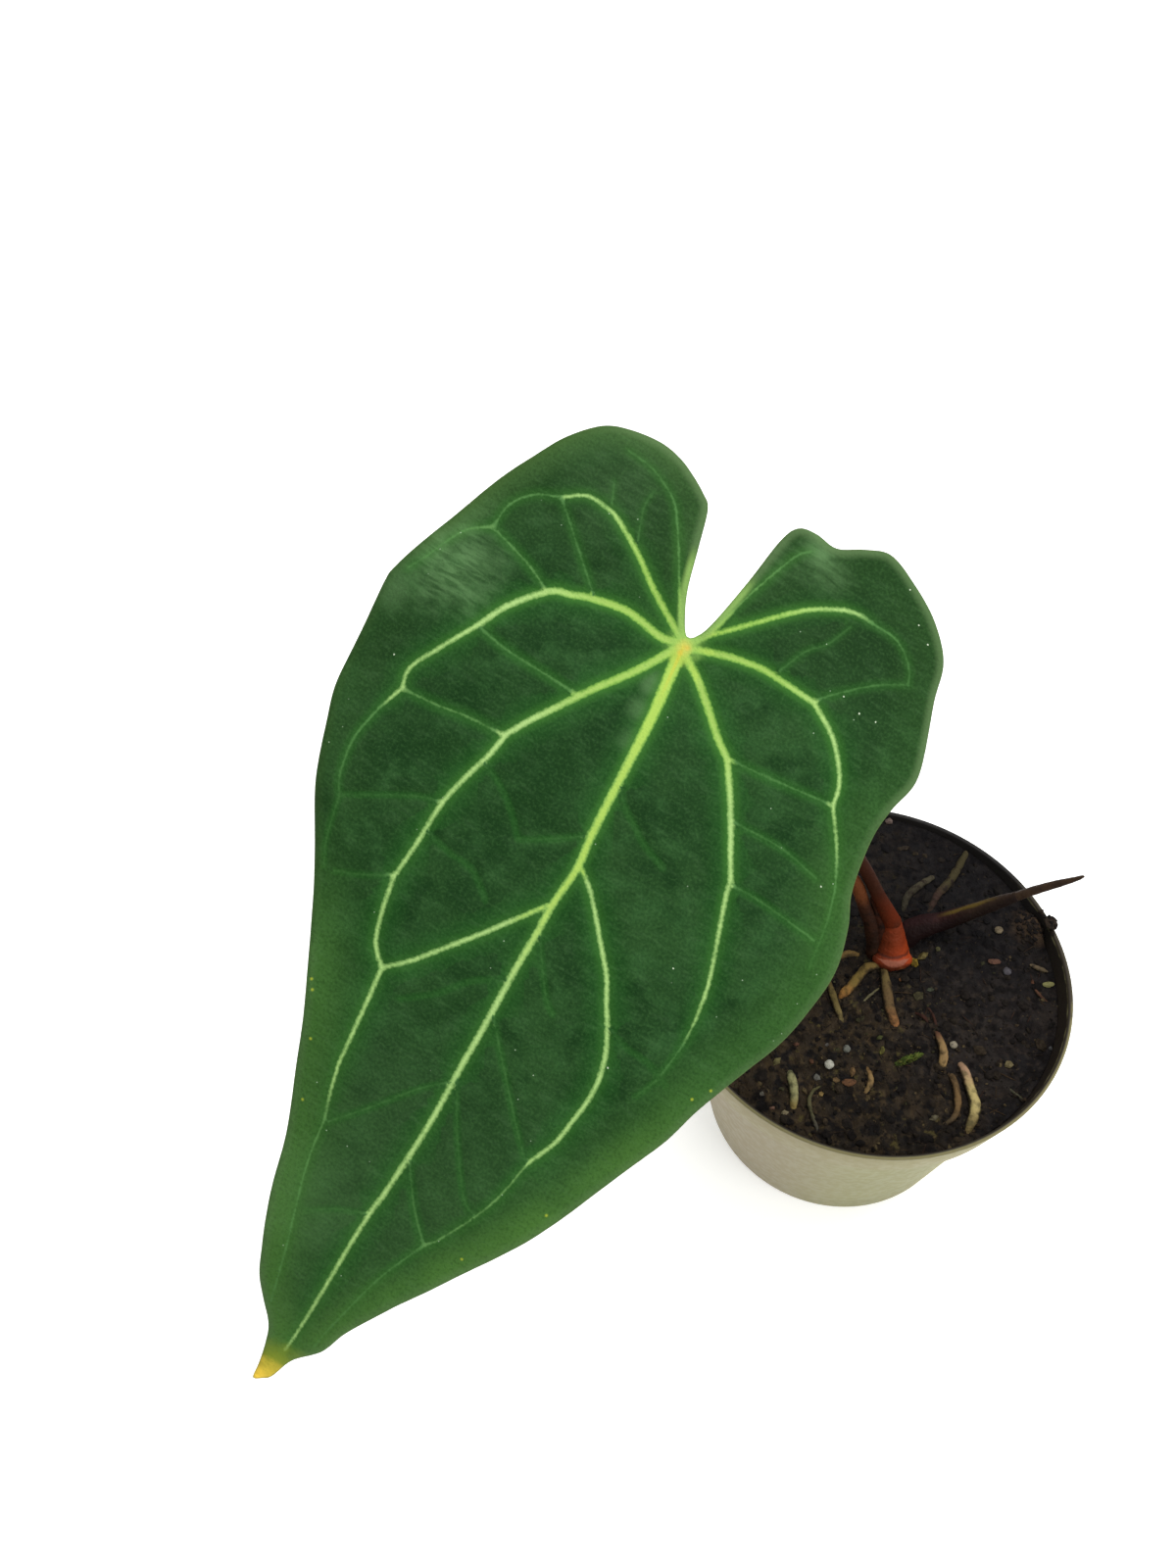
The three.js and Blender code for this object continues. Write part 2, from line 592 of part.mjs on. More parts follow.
function cutBy(geometry, cutters) {
  const cut = cutters.reduce((solid, cutter) => solid.subtract(solidOf(cutter)), solidOf(geometry));
  return geometryOf(cut);
}

function grain([x, y, radius], grow = 0) {
  const geometry = new THREE.IcosahedronGeometry(radius + grow, 0);
  geometry.scale(1.15, 0.95, 0.85);
  geometry.rotateZ(x);
  geometry.translate(x, y, soilHeight(x, y) + 0.35 * radius);
  return geometry;
}

function chip([x, y, length, width, thickness, turn], grow = 0) {
  const geometry = new THREE.SphereGeometry(1, 8, 5);
  geometry.scale(length + grow, width + grow, thickness + grow);
  geometry.rotateZ(THREE.MathUtils.degToRad(turn));
  geometry.translate(x, y, soilHeight(x, y) + 0.4);
  return geometry;
}

function crumbGeometry() {
  const angle = THREE.MathUtils.degToRad(CRUMB_ANGLE);
  const radius = RIM_RADIUS - 1;
  const geometry = new THREE.IcosahedronGeometry(1, 1);
  geometry.scale(...CRUMB_SIZE);
  geometry.rotateZ(angle);
  geometry.translate(radius * Math.cos(angle), radius * Math.sin(angle), POT_HEIGHT + 0.75 * CRUMB_SIZE[2]);
  const cap = new THREE.CylinderGeometry(RIM_RADIUS + 4, RIM_RADIUS + 4, 10, POT_SIDES);
  cap.rotateX(Math.PI / 2);
  cap.translate(0, 0, POT_HEIGHT + GAP - 5);
  return cutBy(geometry, [cap]);
}

// The plant in its pot

const potted = new THREE.Group();

function addPiece(parent, name, geometry, colour, roughness) {
  const material = new THREE.MeshStandardMaterial({ color: colour, roughness, metalness: 0 });
  const mesh = new THREE.Mesh(geometryOf(solidOf(geometry)), material);
  mesh.name = name;
  parent.add(mesh);
}

const crown = crownGeometry();
const crownSpace = crownGeometry(GAP);
const oldStalk = cutBy(stalk(OLD_STALK_PATH, { sides: 10, steps: 10 }), [crownSpace]);
const oldStalkSpace = stalk(OLD_STALK_PATH, { sides: 10, steps: 10, grow: GAP });
const newLeaf = stalk(NEW_LEAF_PATH, { sides: 8, steps: 10 });
const newLeafSpace = stalk(NEW_LEAF_PATH, { sides: 8, steps: 10, grow: GAP });
const sheathSpace = stalk(SHEATH_PATH, { sides: 10, steps: 8, grow: GAP });
const sheath = cutBy(stalk(SHEATH_PATH, { sides: 10, steps: 8 }), [crownSpace, newLeafSpace]);
const stem = stalk(stemPath(), { sides: 10, steps: 26, from: CROWN_SHARE + 0.0017 });

const spaces = [crownSpace, oldStalkSpace, sheathSpace];
const loose = [];

for (const [name, path] of Object.entries(ROOTS)) {
  const route = overSoil(path);
  const options = { sides: 6, steps: 8 };
  const root = cutBy(stalk(route, options), [crownSpace, oldStalkSpace]);
  loose.push([name, root, 0xa08a5c]);
  spaces.push(stalk(route, { ...options, grow: GAP }));
}
for (const [name, path] of Object.entries(TWIGS)) {
  const route = overSoil(path);
  loose.push([name, stalk(route, { sides: 6, steps: 6 }), 0x5a4a30]);
  spaces.push(stalk(route, { sides: 6, steps: 6, grow: GAP }));
}
PERLITE.forEach((place, i) => {
  loose.push([`perlite_${i + 1}`, grain(place), 0xd8d6d0]);
  spaces.push(grain(place, GAP));
});
CHIPS.forEach((place, i) => {
  loose.push([`bark_chip_${i + 1}`, chip(place), 0x5c4630]);
  spaces.push(chip(place, GAP));
});
const mossRoute = overSoil(MOSS_PATH);
loose.push(['moss_sprig', stalk(mossRoute, { sides: 6, steps: 5 }), 0x5f7424]);
spaces.push(stalk(mossRoute, { sides: 6, steps: 5, grow: GAP }));

addPiece(potted, 'pot', potGeometry(), 0xb9b596, 0.5);
addPiece(potted, 'soil', cutBy(soilGeometry(), spaces), 0x1f1a17, 0.95);
addPiece(potted, 'crown', crown, 0x7a3018, 0.6);
addPiece(potted, 'leaf_stalk', stem, 0x6b5a30, 0.5);
addPiece(potted, 'old_stalk', oldStalk, 0x6a3a1c, 0.65);
addPiece(potted, 'new_leaf_sheath', sheath, 0x34161a, 0.6);
addPiece(potted, 'new_leaf', newLeaf, 0x4a3a22, 0.55);
for (const [name, geometry, colour] of loose) addPiece(potted, name, geometry, colour, 0.85);
addPiece(potted, 'rim_crumb', crumbGeometry(), 0x241d18, 0.95);

const leaf = new THREE.Group();
leafFrame().decompose(leaf.position, leaf.quaternion, leaf.scale);
addPiece(leaf, 'leaf_blade', leafGeometry(), 0x244f28, 0.6);
potted.add(leaf);

export default potted;
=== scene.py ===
import math
import random

import bpy
import numpy as np
from mathutils import Euler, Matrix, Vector, noise
from mathutils.bvhtree import BVHTree
from mathutils.geometry import delaunay_2d_cdt
from mathutils.kdtree import KDTree


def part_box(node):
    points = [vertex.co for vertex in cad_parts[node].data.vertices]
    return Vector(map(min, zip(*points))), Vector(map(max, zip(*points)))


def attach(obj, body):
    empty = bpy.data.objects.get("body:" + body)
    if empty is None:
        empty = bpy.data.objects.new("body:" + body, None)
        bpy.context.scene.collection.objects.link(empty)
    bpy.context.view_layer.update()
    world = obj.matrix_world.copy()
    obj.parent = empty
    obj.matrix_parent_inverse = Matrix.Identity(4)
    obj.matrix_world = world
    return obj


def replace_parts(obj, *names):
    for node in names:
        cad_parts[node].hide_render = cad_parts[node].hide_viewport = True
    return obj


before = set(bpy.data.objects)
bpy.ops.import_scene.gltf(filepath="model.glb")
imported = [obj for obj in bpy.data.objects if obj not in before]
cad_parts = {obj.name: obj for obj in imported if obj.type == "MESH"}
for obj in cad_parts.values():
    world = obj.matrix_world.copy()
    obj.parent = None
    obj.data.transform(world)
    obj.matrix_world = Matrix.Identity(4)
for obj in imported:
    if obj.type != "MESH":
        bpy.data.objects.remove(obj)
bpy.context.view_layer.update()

# Camera
# It stands above and in front of the plant and looks steeply down on the pot, past the large leaf.
# Its place is in metres, its lens and sensor in millimetres.
CAMERA_PLACE = (-0.0847, -0.2055, 0.4469)
CAMERA_DOWN = math.radians(52.77)
CAMERA_LENS = 31.5
CAMERA_SENSOR = 36
NEAREST_SEEN = 0.01
bpy.ops.object.camera_add(location=CAMERA_PLACE, rotation=(math.pi / 2 - CAMERA_DOWN, 0, 0))
camera = bpy.context.object
camera.data.lens = CAMERA_LENS
camera.data.sensor_width = CAMERA_SENSOR
camera.data.clip_start = NEAREST_SEEN
bpy.context.scene.camera = camera

# Floor and light
# A plain pale studio floor of matt paper, under a broad soft light overhead, with a weaker one at
# front right. Lights: place, width in metres and watts.
FLOOR_SIZE = 6
SKY_STRENGTH = 0.75
LIT_PLACE = (0, 0, 0.1)
STUDIO_LIGHTS = {
    "overhead": ((0.15, 0.2, 1.2), 1, 12),
    "front": ((0.9, -0.8, 0.8), 0.8, 8),
}


def deselect_all():
    """Leaves no object selected."""
    for thing in bpy.context.selected_objects:
        thing.select_set(False)


def colour(red, green, blue):
    """A colour as it looks on a screen, 0 to 255, as the numbers that a shader takes."""
    parts = [value / 255 for value in (red, green, blue)]
    linear = [part / 12.92 if part <= 0.04045 else ((part + 0.055) / 1.055) ** 2.4 for part in parts]
    return (*linear, 1)


def shader_of(name, **sockets):
    """A new material, with its shader's sockets set: a socket's name has _ for each space."""
    material = bpy.data.materials.new(name)
    material.use_nodes = True
    shader = material.node_tree.nodes["Principled BSDF"]
    for socket, value in sockets.items():
        shader.inputs[socket.replace("_", " ")].default_value = value
    return material, shader


bpy.context.scene.view_settings.view_transform = "Standard"
sky = bpy.data.worlds.new("studio")
bpy.context.scene.world = sky
sky.use_nodes = True
backdrop = sky.node_tree.nodes["Background"]
backdrop.inputs["Color"].default_value = colour(240, 242, 245)
backdrop.inputs["Strength"].default_value = SKY_STRENGTH

deselect_all()
bpy.ops.mesh.primitive_plane_add(size=FLOOR_SIZE)
floor = bpy.context.object
floor.name = "floor"
paper, _ = shader_of("pale_paper", Base_Color=colour(244, 243, 240), Roughness=0.9,
                     Specular_IOR_Level=0.2, Emission_Color=(1, 1, 1, 1), Emission_Strength=0.4)
floor.data.materials.append(paper)

for light_name, (place, width, watts) in STUDIO_LIGHTS.items():
    bpy.ops.object.light_add(type="AREA", location=place)
    light = bpy.context.object
    light.name = light_name
    light.data.size = width
    light.data.energy = watts
    light.rotation_euler = (Vector(LIT_PLACE) - light.location).to_track_quat("-Z", "Y").to_euler()

# Pot
# A thin injection-moulded polypropylene nursery pot: a tapered body, a deeper collar round the
# mouth that laps over it, and drainage holes in the base. Old mix has stained the inside.
# Sizes in millimetres.
MM = 0.001
POT_HEIGHT = 85
COLLAR_HEIGHT = 16
RIM_RADIUS = 60
COLLAR_FOOT_RADIUS = 56.7
BODY_TOP_RADIUS = 54
BASE_RADIUS = 42.3
WALL = 1.4
FLOOR_THICKNESS = 1.6
POT_SIDES = 160
SHOULDER = POT_HEIGHT - COLLAR_HEIGHT
DRAIN_HOLES = 8
DRAIN_RADIUS = 4
DRAIN_RING_RADIUS = 27
EDGE_ROUNDING = 0.45
SHARP_EDGE = math.radians(28)
SMOOTH_EDGE = math.radians(35)


def collar_radius(height):
    """The collar's outer radius at a height."""
    return COLLAR_FOOT_RADIUS + (RIM_RADIUS - COLLAR_FOOT_RADIUS) * (height - SHOULDER) / COLLAR_HEIGHT


def body_radius(height):
    """The body's outer radius at a height."""
    return BASE_RADIUS + (BODY_TOP_RADIUS - BASE_RADIUS) * height / SHOULDER


def apply_modifier(kind, **settings):
    """Adds a modifier to the active piece and applies it."""
    piece = bpy.context.object
    modifier = piece.modifiers.new(kind.lower(), kind)
    for setting, value in settings.items():
        setattr(modifier, setting, value)
    bpy.ops.object.modifier_apply(modifier=modifier.name)


def raise_wall(profile, sides):
    """A wall of revolution: a ring, extruded and resized to each radius and height in turn."""
    radius, height = profile[0]
    deselect_all()
    bpy.ops.mesh.primitive_circle_add(vertices=sides, radius=radius * MM, location=(0, 0, height * MM))
    bpy.ops.object.transform_apply()
    bpy.ops.object.mode_set(mode="EDIT")
    for next_radius, next_height in profile[1:]:
        bpy.ops.mesh.extrude_region()
        bpy.ops.transform.translate(value=(0, 0, (next_height - height) * MM))
        share = next_radius / radius
        bpy.ops.transform.resize(value=(share, share, 1), center_override=(0, 0, next_height * MM))
        radius, height = next_radius, next_height
    bpy.ops.mesh.edge_face_add()
    bpy.ops.mesh.select_all(action="DESELECT")
    bpy.ops.mesh.select_non_manifold()
    bpy.ops.mesh.edge_face_add()
    bpy.ops.mesh.select_all(action="SELECT")
    bpy.ops.mesh.normals_make_consistent(inside=False)
    bpy.ops.object.mode_set(mode="OBJECT")
    return bpy.context.object


pot = raise_wall([
    (BASE_RADIUS - 1.8, 0),
    (BASE_RADIUS - 0.6, 0.5),
    (body_radius(1.8), 1.8),
    (body_radius(SHOULDER - 0.8), SHOULDER - 0.8),
    (BODY_TOP_RADIUS + 0.6, SHOULDER),
    (COLLAR_FOOT_RADIUS, SHOULDER),
    (RIM_RADIUS, POT_HEIGHT),
    (RIM_RADIUS - WALL, POT_HEIGHT),
    (COLLAR_FOOT_RADIUS - WALL, SHOULDER),
    (body_radius(SHOULDER - WALL) - WALL, SHOULDER - WALL),
    (body_radius(FLOOR_THICKNESS + 2) - WALL, FLOOR_THICKNESS + 2),
    (BASE_RADIUS - WALL - 2, FLOOR_THICKNESS),
], POT_SIDES)
pot.name = "pot_moulding"
drills = []
for hole in range(DRAIN_HOLES):
    turn = 2 * math.pi * (hole + 0.5) / DRAIN_HOLES
    place = (DRAIN_RING_RADIUS * MM * math.cos(turn), DRAIN_RING_RADIUS * MM * math.sin(turn), 0)
    bpy.ops.mesh.primitive_cylinder_add(vertices=32, radius=DRAIN_RADIUS * MM, depth=8 * MM,
                                        location=place)
    drills.append(bpy.context.object)
deselect_all()
for drill in drills:
    drill.select_set(True)
bpy.context.view_layer.objects.active = drills[0]
bpy.ops.object.join()
drill = bpy.context.object
bpy.context.view_layer.objects.active = pot
apply_modifier("BOOLEAN", operation="DIFFERENCE", object=drill, solver="EXACT")
bpy.data.objects.remove(drill)
apply_modifier("BEVEL", width=EDGE_ROUNDING * MM, segments=3, limit_method="ANGLE",
               angle_limit=SHARP_EDGE)
deselect_all()
pot.select_set(True)
bpy.ops.object.shade_smooth_by_angle(angle=SMOOTH_EDGE)


def plug(tree, socket, value):
    """Links a socket to another node's output, or sets it to a plain value."""
    if isinstance(value, bpy.types.NodeSocket):
        tree.links.new(value, socket)
    else:
        socket.default_value = value


def sum_of(tree, operation, *values):
    """A Math node."""
    made = tree.nodes.new("ShaderNodeMath")
    made.operation = operation
    for socket, value in zip(made.inputs, values):
        plug(tree, socket, value)
    return made.outputs[0]


def times(tree, one, other):
    """One value multiplied by another."""
    return sum_of(tree, "MULTIPLY", one, other)


def plus(tree, one, other):
    """One value added to another."""
    return sum_of(tree, "ADD", one, other)


def minus(tree, one, other):
    """One value less another."""
    return sum_of(tree, "SUBTRACT", one, other)


def vector_sum(tree, operation, *vectors):
    """A Vector Math node's vector, or its number where it gives one."""
    made = tree.nodes.new("ShaderNodeVectorMath")
    made.operation = operation
    for socket, vector in zip(made.inputs, vectors):
        plug(tree, socket, vector)
    return made.outputs["Value" if operation in ("DISTANCE", "DOT_PRODUCT", "LENGTH") else "Vector"]


def spread(tree, value, low, high, to_low=0.0, to_high=1.0):
    """A value taken smoothly from one range to another, and held at its ends."""
    made = tree.nodes.new("ShaderNodeMapRange")
    made.interpolation_type = "SMOOTHSTEP"
    for socket, given in zip(made.inputs, (value, low, high, to_low, to_high)):
        plug(tree, socket, given)
    return made.outputs["Result"]


def layer(tree, mask, under, over, blend="MIX"):
    """One colour laid over another, or blended with it, where the mask is 1."""
    made = tree.nodes.new("ShaderNodeMix")
    made.data_type, made.blend_type = "RGBA", blend
    for socket, given in zip((made.inputs[0], made.inputs[6], made.inputs[7]), (mask, under, over)):
        plug(tree, socket, given)
    return made.outputs[2]


def coat(tree, under, tint, mask, strength=None):
    """A coat of a screen colour, 0 to 255, where the mask is 1, as thick as its strength."""
    if strength is not None:
        mask = times(tree, mask, strength)
    return layer(tree, mask, under, colour(*tint))


def shade(tint, share):
    """A screen colour, darkened to a share of itself."""
    return tuple(part * share for part in tint)


def place_of(tree):
    """Where a point is on its piece, in metres."""
    return tree.nodes.new("ShaderNodeTexCoord").outputs["Object"]


def axis_of(tree, place, axis):
    """One of a place's three numbers."""
    made = tree.nodes.new("ShaderNodeSeparateXYZ")
    tree.links.new(place, made.inputs[0])
    return made.outputs[axis]


def new_group(name, inputs, outputs):
    """An empty node group with its named inputs and outputs, and the sockets on either side."""
    group = bpy.data.node_groups.new(name, "ShaderNodeTree")
    for socket, (kind, value) in inputs.items():
        made = group.interface.new_socket(socket, in_out="INPUT", socket_type=kind)
        if value is not None:
            made.default_value = value
    for socket, kind in outputs.items():
        group.interface.new_socket(socket, in_out="OUTPUT", socket_type=kind)
    return group, group.nodes.new("NodeGroupInput").outputs, group.nodes.new("NodeGroupOutput").inputs


def use(tree, group, output, **values):
    """A group placed in a material with its own values."""
    made = tree.nodes.new("ShaderNodeGroup")
    made.node_tree = group
    for socket, value in values.items():
        plug(tree, made.inputs[socket.replace("_", " ")], value)
    return made.outputs[output]


def noise_of(tree, place, scale, detail, distortion=0.0):
    """A noise texture's value."""
    made = tree.nodes.new("ShaderNodeTexNoise")
    for socket, value in (("Vector", place), ("Scale", scale), ("Detail", detail),
                          ("Distortion", distortion)):
        plug(tree, made.inputs[socket], value)
    return made.outputs["Fac"]


FLOAT, VECTOR = "NodeSocketFloat", "NodeSocketVector"

# Cloudy patches: 1 in a patch, 0 between patches
mottle, given, out = new_group(
    "mottle",
    {"Place": (VECTOR, None), "Per Metre": (FLOAT, 100), "Detail": (FLOAT, 3),
     "Low": (FLOAT, 0.4), "High": (FLOAT, 0.6)},
    {"Mask": FLOAT})
clouds = noise_of(mottle, given["Place"], given["Per Metre"], given["Detail"])
plug(mottle, out["Mask"], spread(mottle, clouds, given["Low"], given["High"]))

# A ragged spot round a point: 1 in its middle, 0 outside
spot, given, out = new_group(
    "spot",
    {"Place": (VECTOR, None), "Middle": (VECTOR, None), "Reach": (FLOAT, 0.01), "Soft": (FLOAT, 0.5),
     "Ragged": (FLOAT, 0.3), "Per Metre": (FLOAT, 500)},
    {"Mask": FLOAT})
away = vector_sum(spot, "DISTANCE", given["Place"], given["Middle"])
uneven = minus(spot, noise_of(spot, given["Place"], given["Per Metre"], 2), 0.5)
near = plus(spot, sum_of(spot, "DIVIDE", away, given["Reach"]), times(spot, uneven, given["Ragged"]))
inner = minus(spot, 1.0, given["Soft"])
plug(spot, out["Mask"], minus(spot, 1.0, spread(spot, near, inner, 1.0)))

# A fine uneven surface, as a bump
grain, given, out = new_group(
    "grain",
    {"Place": (VECTOR, None), "Per Metre": (FLOAT, 1000), "Detail": (FLOAT, 3),
     "Height": (FLOAT, 0.0001)},
    {"Normal": VECTOR})
bump = grain.nodes.new("ShaderNodeBump")
plug(grain, bump.inputs["Distance"], given["Height"])
plug(grain, bump.inputs["Height"], noise_of(grain, given["Place"], given["Per Metre"], given["Detail"]))
plug(grain, out["Normal"], bump.outputs["Normal"])


def patches(tree, place, per_metre, **values):
    """A mask of cloudy patches, so many to the metre."""
    return use(tree, mottle, "Mask", Place=place, Per_Metre=per_metre, **values)


def spot_at(tree, place, middle, reach, **values):
    """A mask of one ragged spot round its middle."""
    return use(tree, spot, "Mask", Place=place, Middle=middle, Reach=reach, **values)


def new_finish(name, **sockets):
    """A new material, with its shader, its nodes and the place of a point on its piece."""
    material, shader = shader_of(name, **sockets)
    return material, shader, material.node_tree, place_of(material.node_tree)


def finish(tree, shader, paint, place, **grain_values):
    """The paint and a fine grain, put on a material's shader."""
    tree.links.new(paint, shader.inputs["Base Color"])
    tree.links.new(use(tree, grain, "Normal", Place=place, **grain_values), shader.inputs["Normal"])


def dress_pot(name, stained):
    """The pot's cream plastic, clean outside or stained by the mix inside."""
    material, shader, tree, place = new_finish(name, Specular_IOR_Level=0.18)
    rightwards, farther, height = (axis_of(tree, place, axis) for axis in range(3))
    paint = coat(tree, colour(137, 135, 96), (131, 129, 91),
                 patches(tree, place, 22, Low=0.35, High=0.65))
    # Painted shade darkens the pot's left side and painted light brightens its right side.
    paint = coat(tree, paint, (142, 131, 107), spread(tree, rightwards, 0.004, -0.034), 0.9)
    paint = coat(tree, paint, (174, 171, 122), spread(tree, rightwards, 0.016, 0.046), 0.9)
    paint = coat(tree, paint, (138, 130, 96), spread(tree, height, 0.0685, 0.071), 0.6)
    scuffs = patches(tree, place, 260, Detail=6, Low=0.58, High=0.76)
    paint = coat(tree, paint, (130, 122, 92), scuffs, 0.12)
    paint = coat(tree, paint, (99, 92, 58), spread(tree, height, 0.0836, 0.0847), 0.85)
    from_middle = vector_sum(tree, "LENGTH", vector_sum(tree, "MULTIPLY", place, (1, 1, 0)))
    inner_lip = spread(tree, from_middle, 0.0595, 0.0589)
    paint = coat(tree, paint, (34, 28, 21), times(tree, inner_lip, spread(tree, height, 0.0843, 0.0848)))
    grime = patches(tree, place, 200, Detail=4, Low=0.3, High=0.7)
    aslant = plus(tree, plus(tree, farther, times(tree, grime, 0.008)), times(tree, rightwards, 0.35))
    dirty_lip = times(tree, spread(tree, aslant, 0.004, 0.014), spread(tree, height, 0.0839, 0.0845))
    paint = coat(tree, paint, (42, 35, 26), dirty_lip, 0.85)
    far_lip = times(tree, spread(tree, farther, 0.022, 0.034), spread(tree, height, 0.082, 0.084))
    paint = coat(tree, paint, (22, 19, 17), far_lip)
    if stained:
        edge = patches(tree, place, 240, Detail=4, Low=0.3, High=0.7)
        level = plus(tree, height, times(tree, edge, 0.0008))
        soil_stain = coat(tree, colour(32, 26, 20), (20, 17, 15), spread(tree, farther, -0.01, 0.03))
        paint = layer(tree, spread(tree, level, 0.0853, 0.0843), paint, soil_stain)
    rough = patches(tree, place, 420, Detail=4, Low=0.3, High=0.7)
    tree.links.new(spread(tree, rough, 0, 1, 0.5, 0.65), shader.inputs["Roughness"])
    finish(tree, shader, paint, place, Per_Metre=1500, Height=0.00003)
    return material


pot.data.materials.append(dress_pot("cream_plastic", stained=False))
pot.data.materials.append(dress_pot("stained_plastic", stained=True))
for face in pot.data.polygons:
    outward = Vector((face.center.x, face.center.y, 0)).normalized()
    faces_in = outward.dot(face.normal) < -0.3 or face.normal.z > 0.9 and face.center.z < 0.01
    face.material_index = 1 if faces_in else 0
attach(pot, "root")
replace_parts(pot, "pot")

# Growing mix
# Damp peat and fine bark, firmed in: level in front, banked against the far wall, with soft lumps
# and a small heap against the rim at the right. Loose crumbs, clods and strands of it lie on top.
SOIL_LEVEL = 79
SOIL_SLOPE = 0.045
SOIL_BANK = 1.8
SOIL_BANK_WIDTH = 6
SOIL_REACH = 57
SOIL_LUMPS = 90
SOIL_SEED = 11
SOIL_SPOKES = 420
SOIL_RINGS = 118
SOIL_CLEARANCE = 0.1
SOIL_INSET = WALL + 0.3
HEAP_X, HEAP_Y, HEAP_RADIUS, HEAP_HEIGHT = 53.5, 16.5, 3.4, 3.6
CLOD_SIZE, CELL_SIZE, CRUMB_SIZE = 5.5, 2.3, 1.05
CLOD_HEIGHT, CELL_HEIGHT, CRUMB_HEIGHT = 0.55, 0.75, 0.4


def mix_lumps():
    """The mix's lumps, drawn as the solid's are: x, y, radius and height."""
    state = SOIL_SEED
    drawn = []
    for _ in range(4 * SOIL_LUMPS):
        state = state * 16807 % 2147483647
        drawn.append(state / 2147483647)
    for turn, out_share, size, rise in zip(*[iter(drawn)] * 4):
        reach = 54 * math.sqrt(out_share)
        yield (reach * math.cos(2 * math.pi * turn), reach * math.sin(2 * math.pi * turn),
               2.5 + 3.5 * size, -0.7 + 1.9 * rise)


LUMPS = list(mix_lumps())


def mix_height(x, y):
    """The height of the mix's plain surface, for one place or arrays of places, in millimetres."""
    to_wall = (SOIL_REACH - np.hypot(x, y)) / SOIL_BANK_WIDTH
    bank = SOIL_BANK * np.maximum(0, y / SOIL_REACH) * np.exp(-to_wall**2)
    height = SOIL_LEVEL + SOIL_SLOPE * y + bank
    for lump_x, lump_y, radius, rise in LUMPS:
        height = height + rise * np.exp(-((x - lump_x) ** 2 + (y - lump_y) ** 2) / (2 * radius**2))
    return height


def crumble(x, y):
    """The fine unevenness of the mix: clods, crumbs and pits, in millimetres."""
    clods = noise.fractal(Vector((x, y, 3)) / CLOD_SIZE, 0.6, 2.1, 3)
    cell = noise.voronoi(Vector((x + 0.6 * clods, y, 9)) / CELL_SIZE)[0]
    crumbs = noise.voronoi(Vector((x, y + 0.4 * clods, 21)) / CRUMB_SIZE)[0]
    heap = HEAP_HEIGHT * math.exp(-((x - HEAP_X) ** 2 + (y - HEAP_Y) ** 2) / (2 * HEAP_RADIUS**2))
    relief = heap + CLOD_HEIGHT * clods + CELL_HEIGHT * min(cell[1] - cell[0], 0.5)
    return relief + CRUMB_HEIGHT * min(crumbs[1] - crumbs[0], 0.4) - 0.25


deselect_all()
bpy.ops.mesh.primitive_grid_add(x_subdivisions=SOIL_RINGS, y_subdivisions=SOIL_SPOKES, size=2)
mix = bpy.context.object
mix.name = "mix_surface"
for vertex in mix.data.vertices:
    share, turn = (vertex.co.x + 1) / 2, math.pi * vertex.co.y
    edge_level = mix_height(SOIL_REACH * math.cos(turn), SOIL_REACH * math.sin(turn))
    reach = share * (collar_radius(edge_level) - WALL - SOIL_CLEARANCE)
    x, y = reach * math.cos(turn), reach * math.sin(turn)
    fine = crumble(x, y) if share < 1 else 0
    vertex.co = Vector((x, y, mix_height(x, y) + fine)) * MM
bpy.ops.object.mode_set(mode="EDIT")
bpy.ops.mesh.select_all(action="SELECT")
bpy.ops.mesh.remove_doubles(threshold=0.01 * MM)
bpy.ops.mesh.select_all(action="DESELECT")
bpy.ops.mesh.select_non_manifold()
for radius, height in ((COLLAR_FOOT_RADIUS - SOIL_INSET, SHOULDER),
                       (body_radius(SHOULDER - 2) - SOIL_INSET, SHOULDER - 2),
                       (body_radius(4) - SOIL_INSET, FLOOR_THICKNESS + 0.3)):
    bpy.ops.mesh.extrude_region()
    bpy.ops.transform.resize(value=(radius / (SOIL_REACH - 0.2), radius / (SOIL_REACH - 0.2), 0))
    bpy.ops.object.mode_set(mode="OBJECT")
    for vertex in mix.data.vertices:
        if vertex.select:
            outward = Vector((vertex.co.x, vertex.co.y, 0)).normalized()
            vertex.co = outward * radius * MM + Vector((0, 0, height * MM))
    bpy.ops.object.mode_set(mode="EDIT")
bpy.ops.mesh.edge_face_add()
bpy.ops.mesh.select_all(action="SELECT")
bpy.ops.mesh.normals_make_consistent(inside=False)
bpy.ops.object.mode_set(mode="OBJECT")
bpy.ops.object.shade_smooth()
FAR_DARK_COLOUR = (12, 11, 13)


def far_darkening_of(tree, place):
    """How much darker the mix is painted: most so towards the far wall."""
    return times(tree, spread(tree, axis_of(tree, place, 1), -0.012, 0.02), 0.64)


soil, shader, tree, place = new_finish("damp_mix", Specular_IOR_Level=0.08)
rightwards = plus(tree, axis_of(tree, place, 0), times(tree, noise_of(tree, place, 45, 4), 0.06))
warm = spread(tree, rightwards, 0.062, 0.028)
dark_paint = coat(tree, colour(22, 19, 19), (26, 21, 16), warm)
light_paint = coat(tree, colour(34, 29, 26), (45, 36, 25), warm)
paint = layer(tree, patches(tree, place, 95, Detail=5, Low=0.38, High=0.66), dark_paint, light_paint)
paint = layer(tree, patches(tree, place, 420, Detail=5, Low=0.5, High=0.72),
              paint, coat(tree, colour(42, 35, 30), (56, 45, 30), warm))
olive_bits = patches(tree, place, 260, Detail=6, Low=0.6, High=0.7)
paint = coat(tree, paint, (66, 58, 32), times(tree, olive_bits, warm))
paint = coat(tree, paint, (72, 60, 42), patches(tree, place, 900, Detail=3, Low=0.67, High=0.75))
paint = coat(tree, paint, (15, 12, 11), patches(tree, place, 330, Detail=4, Low=0.52, High=0.36))
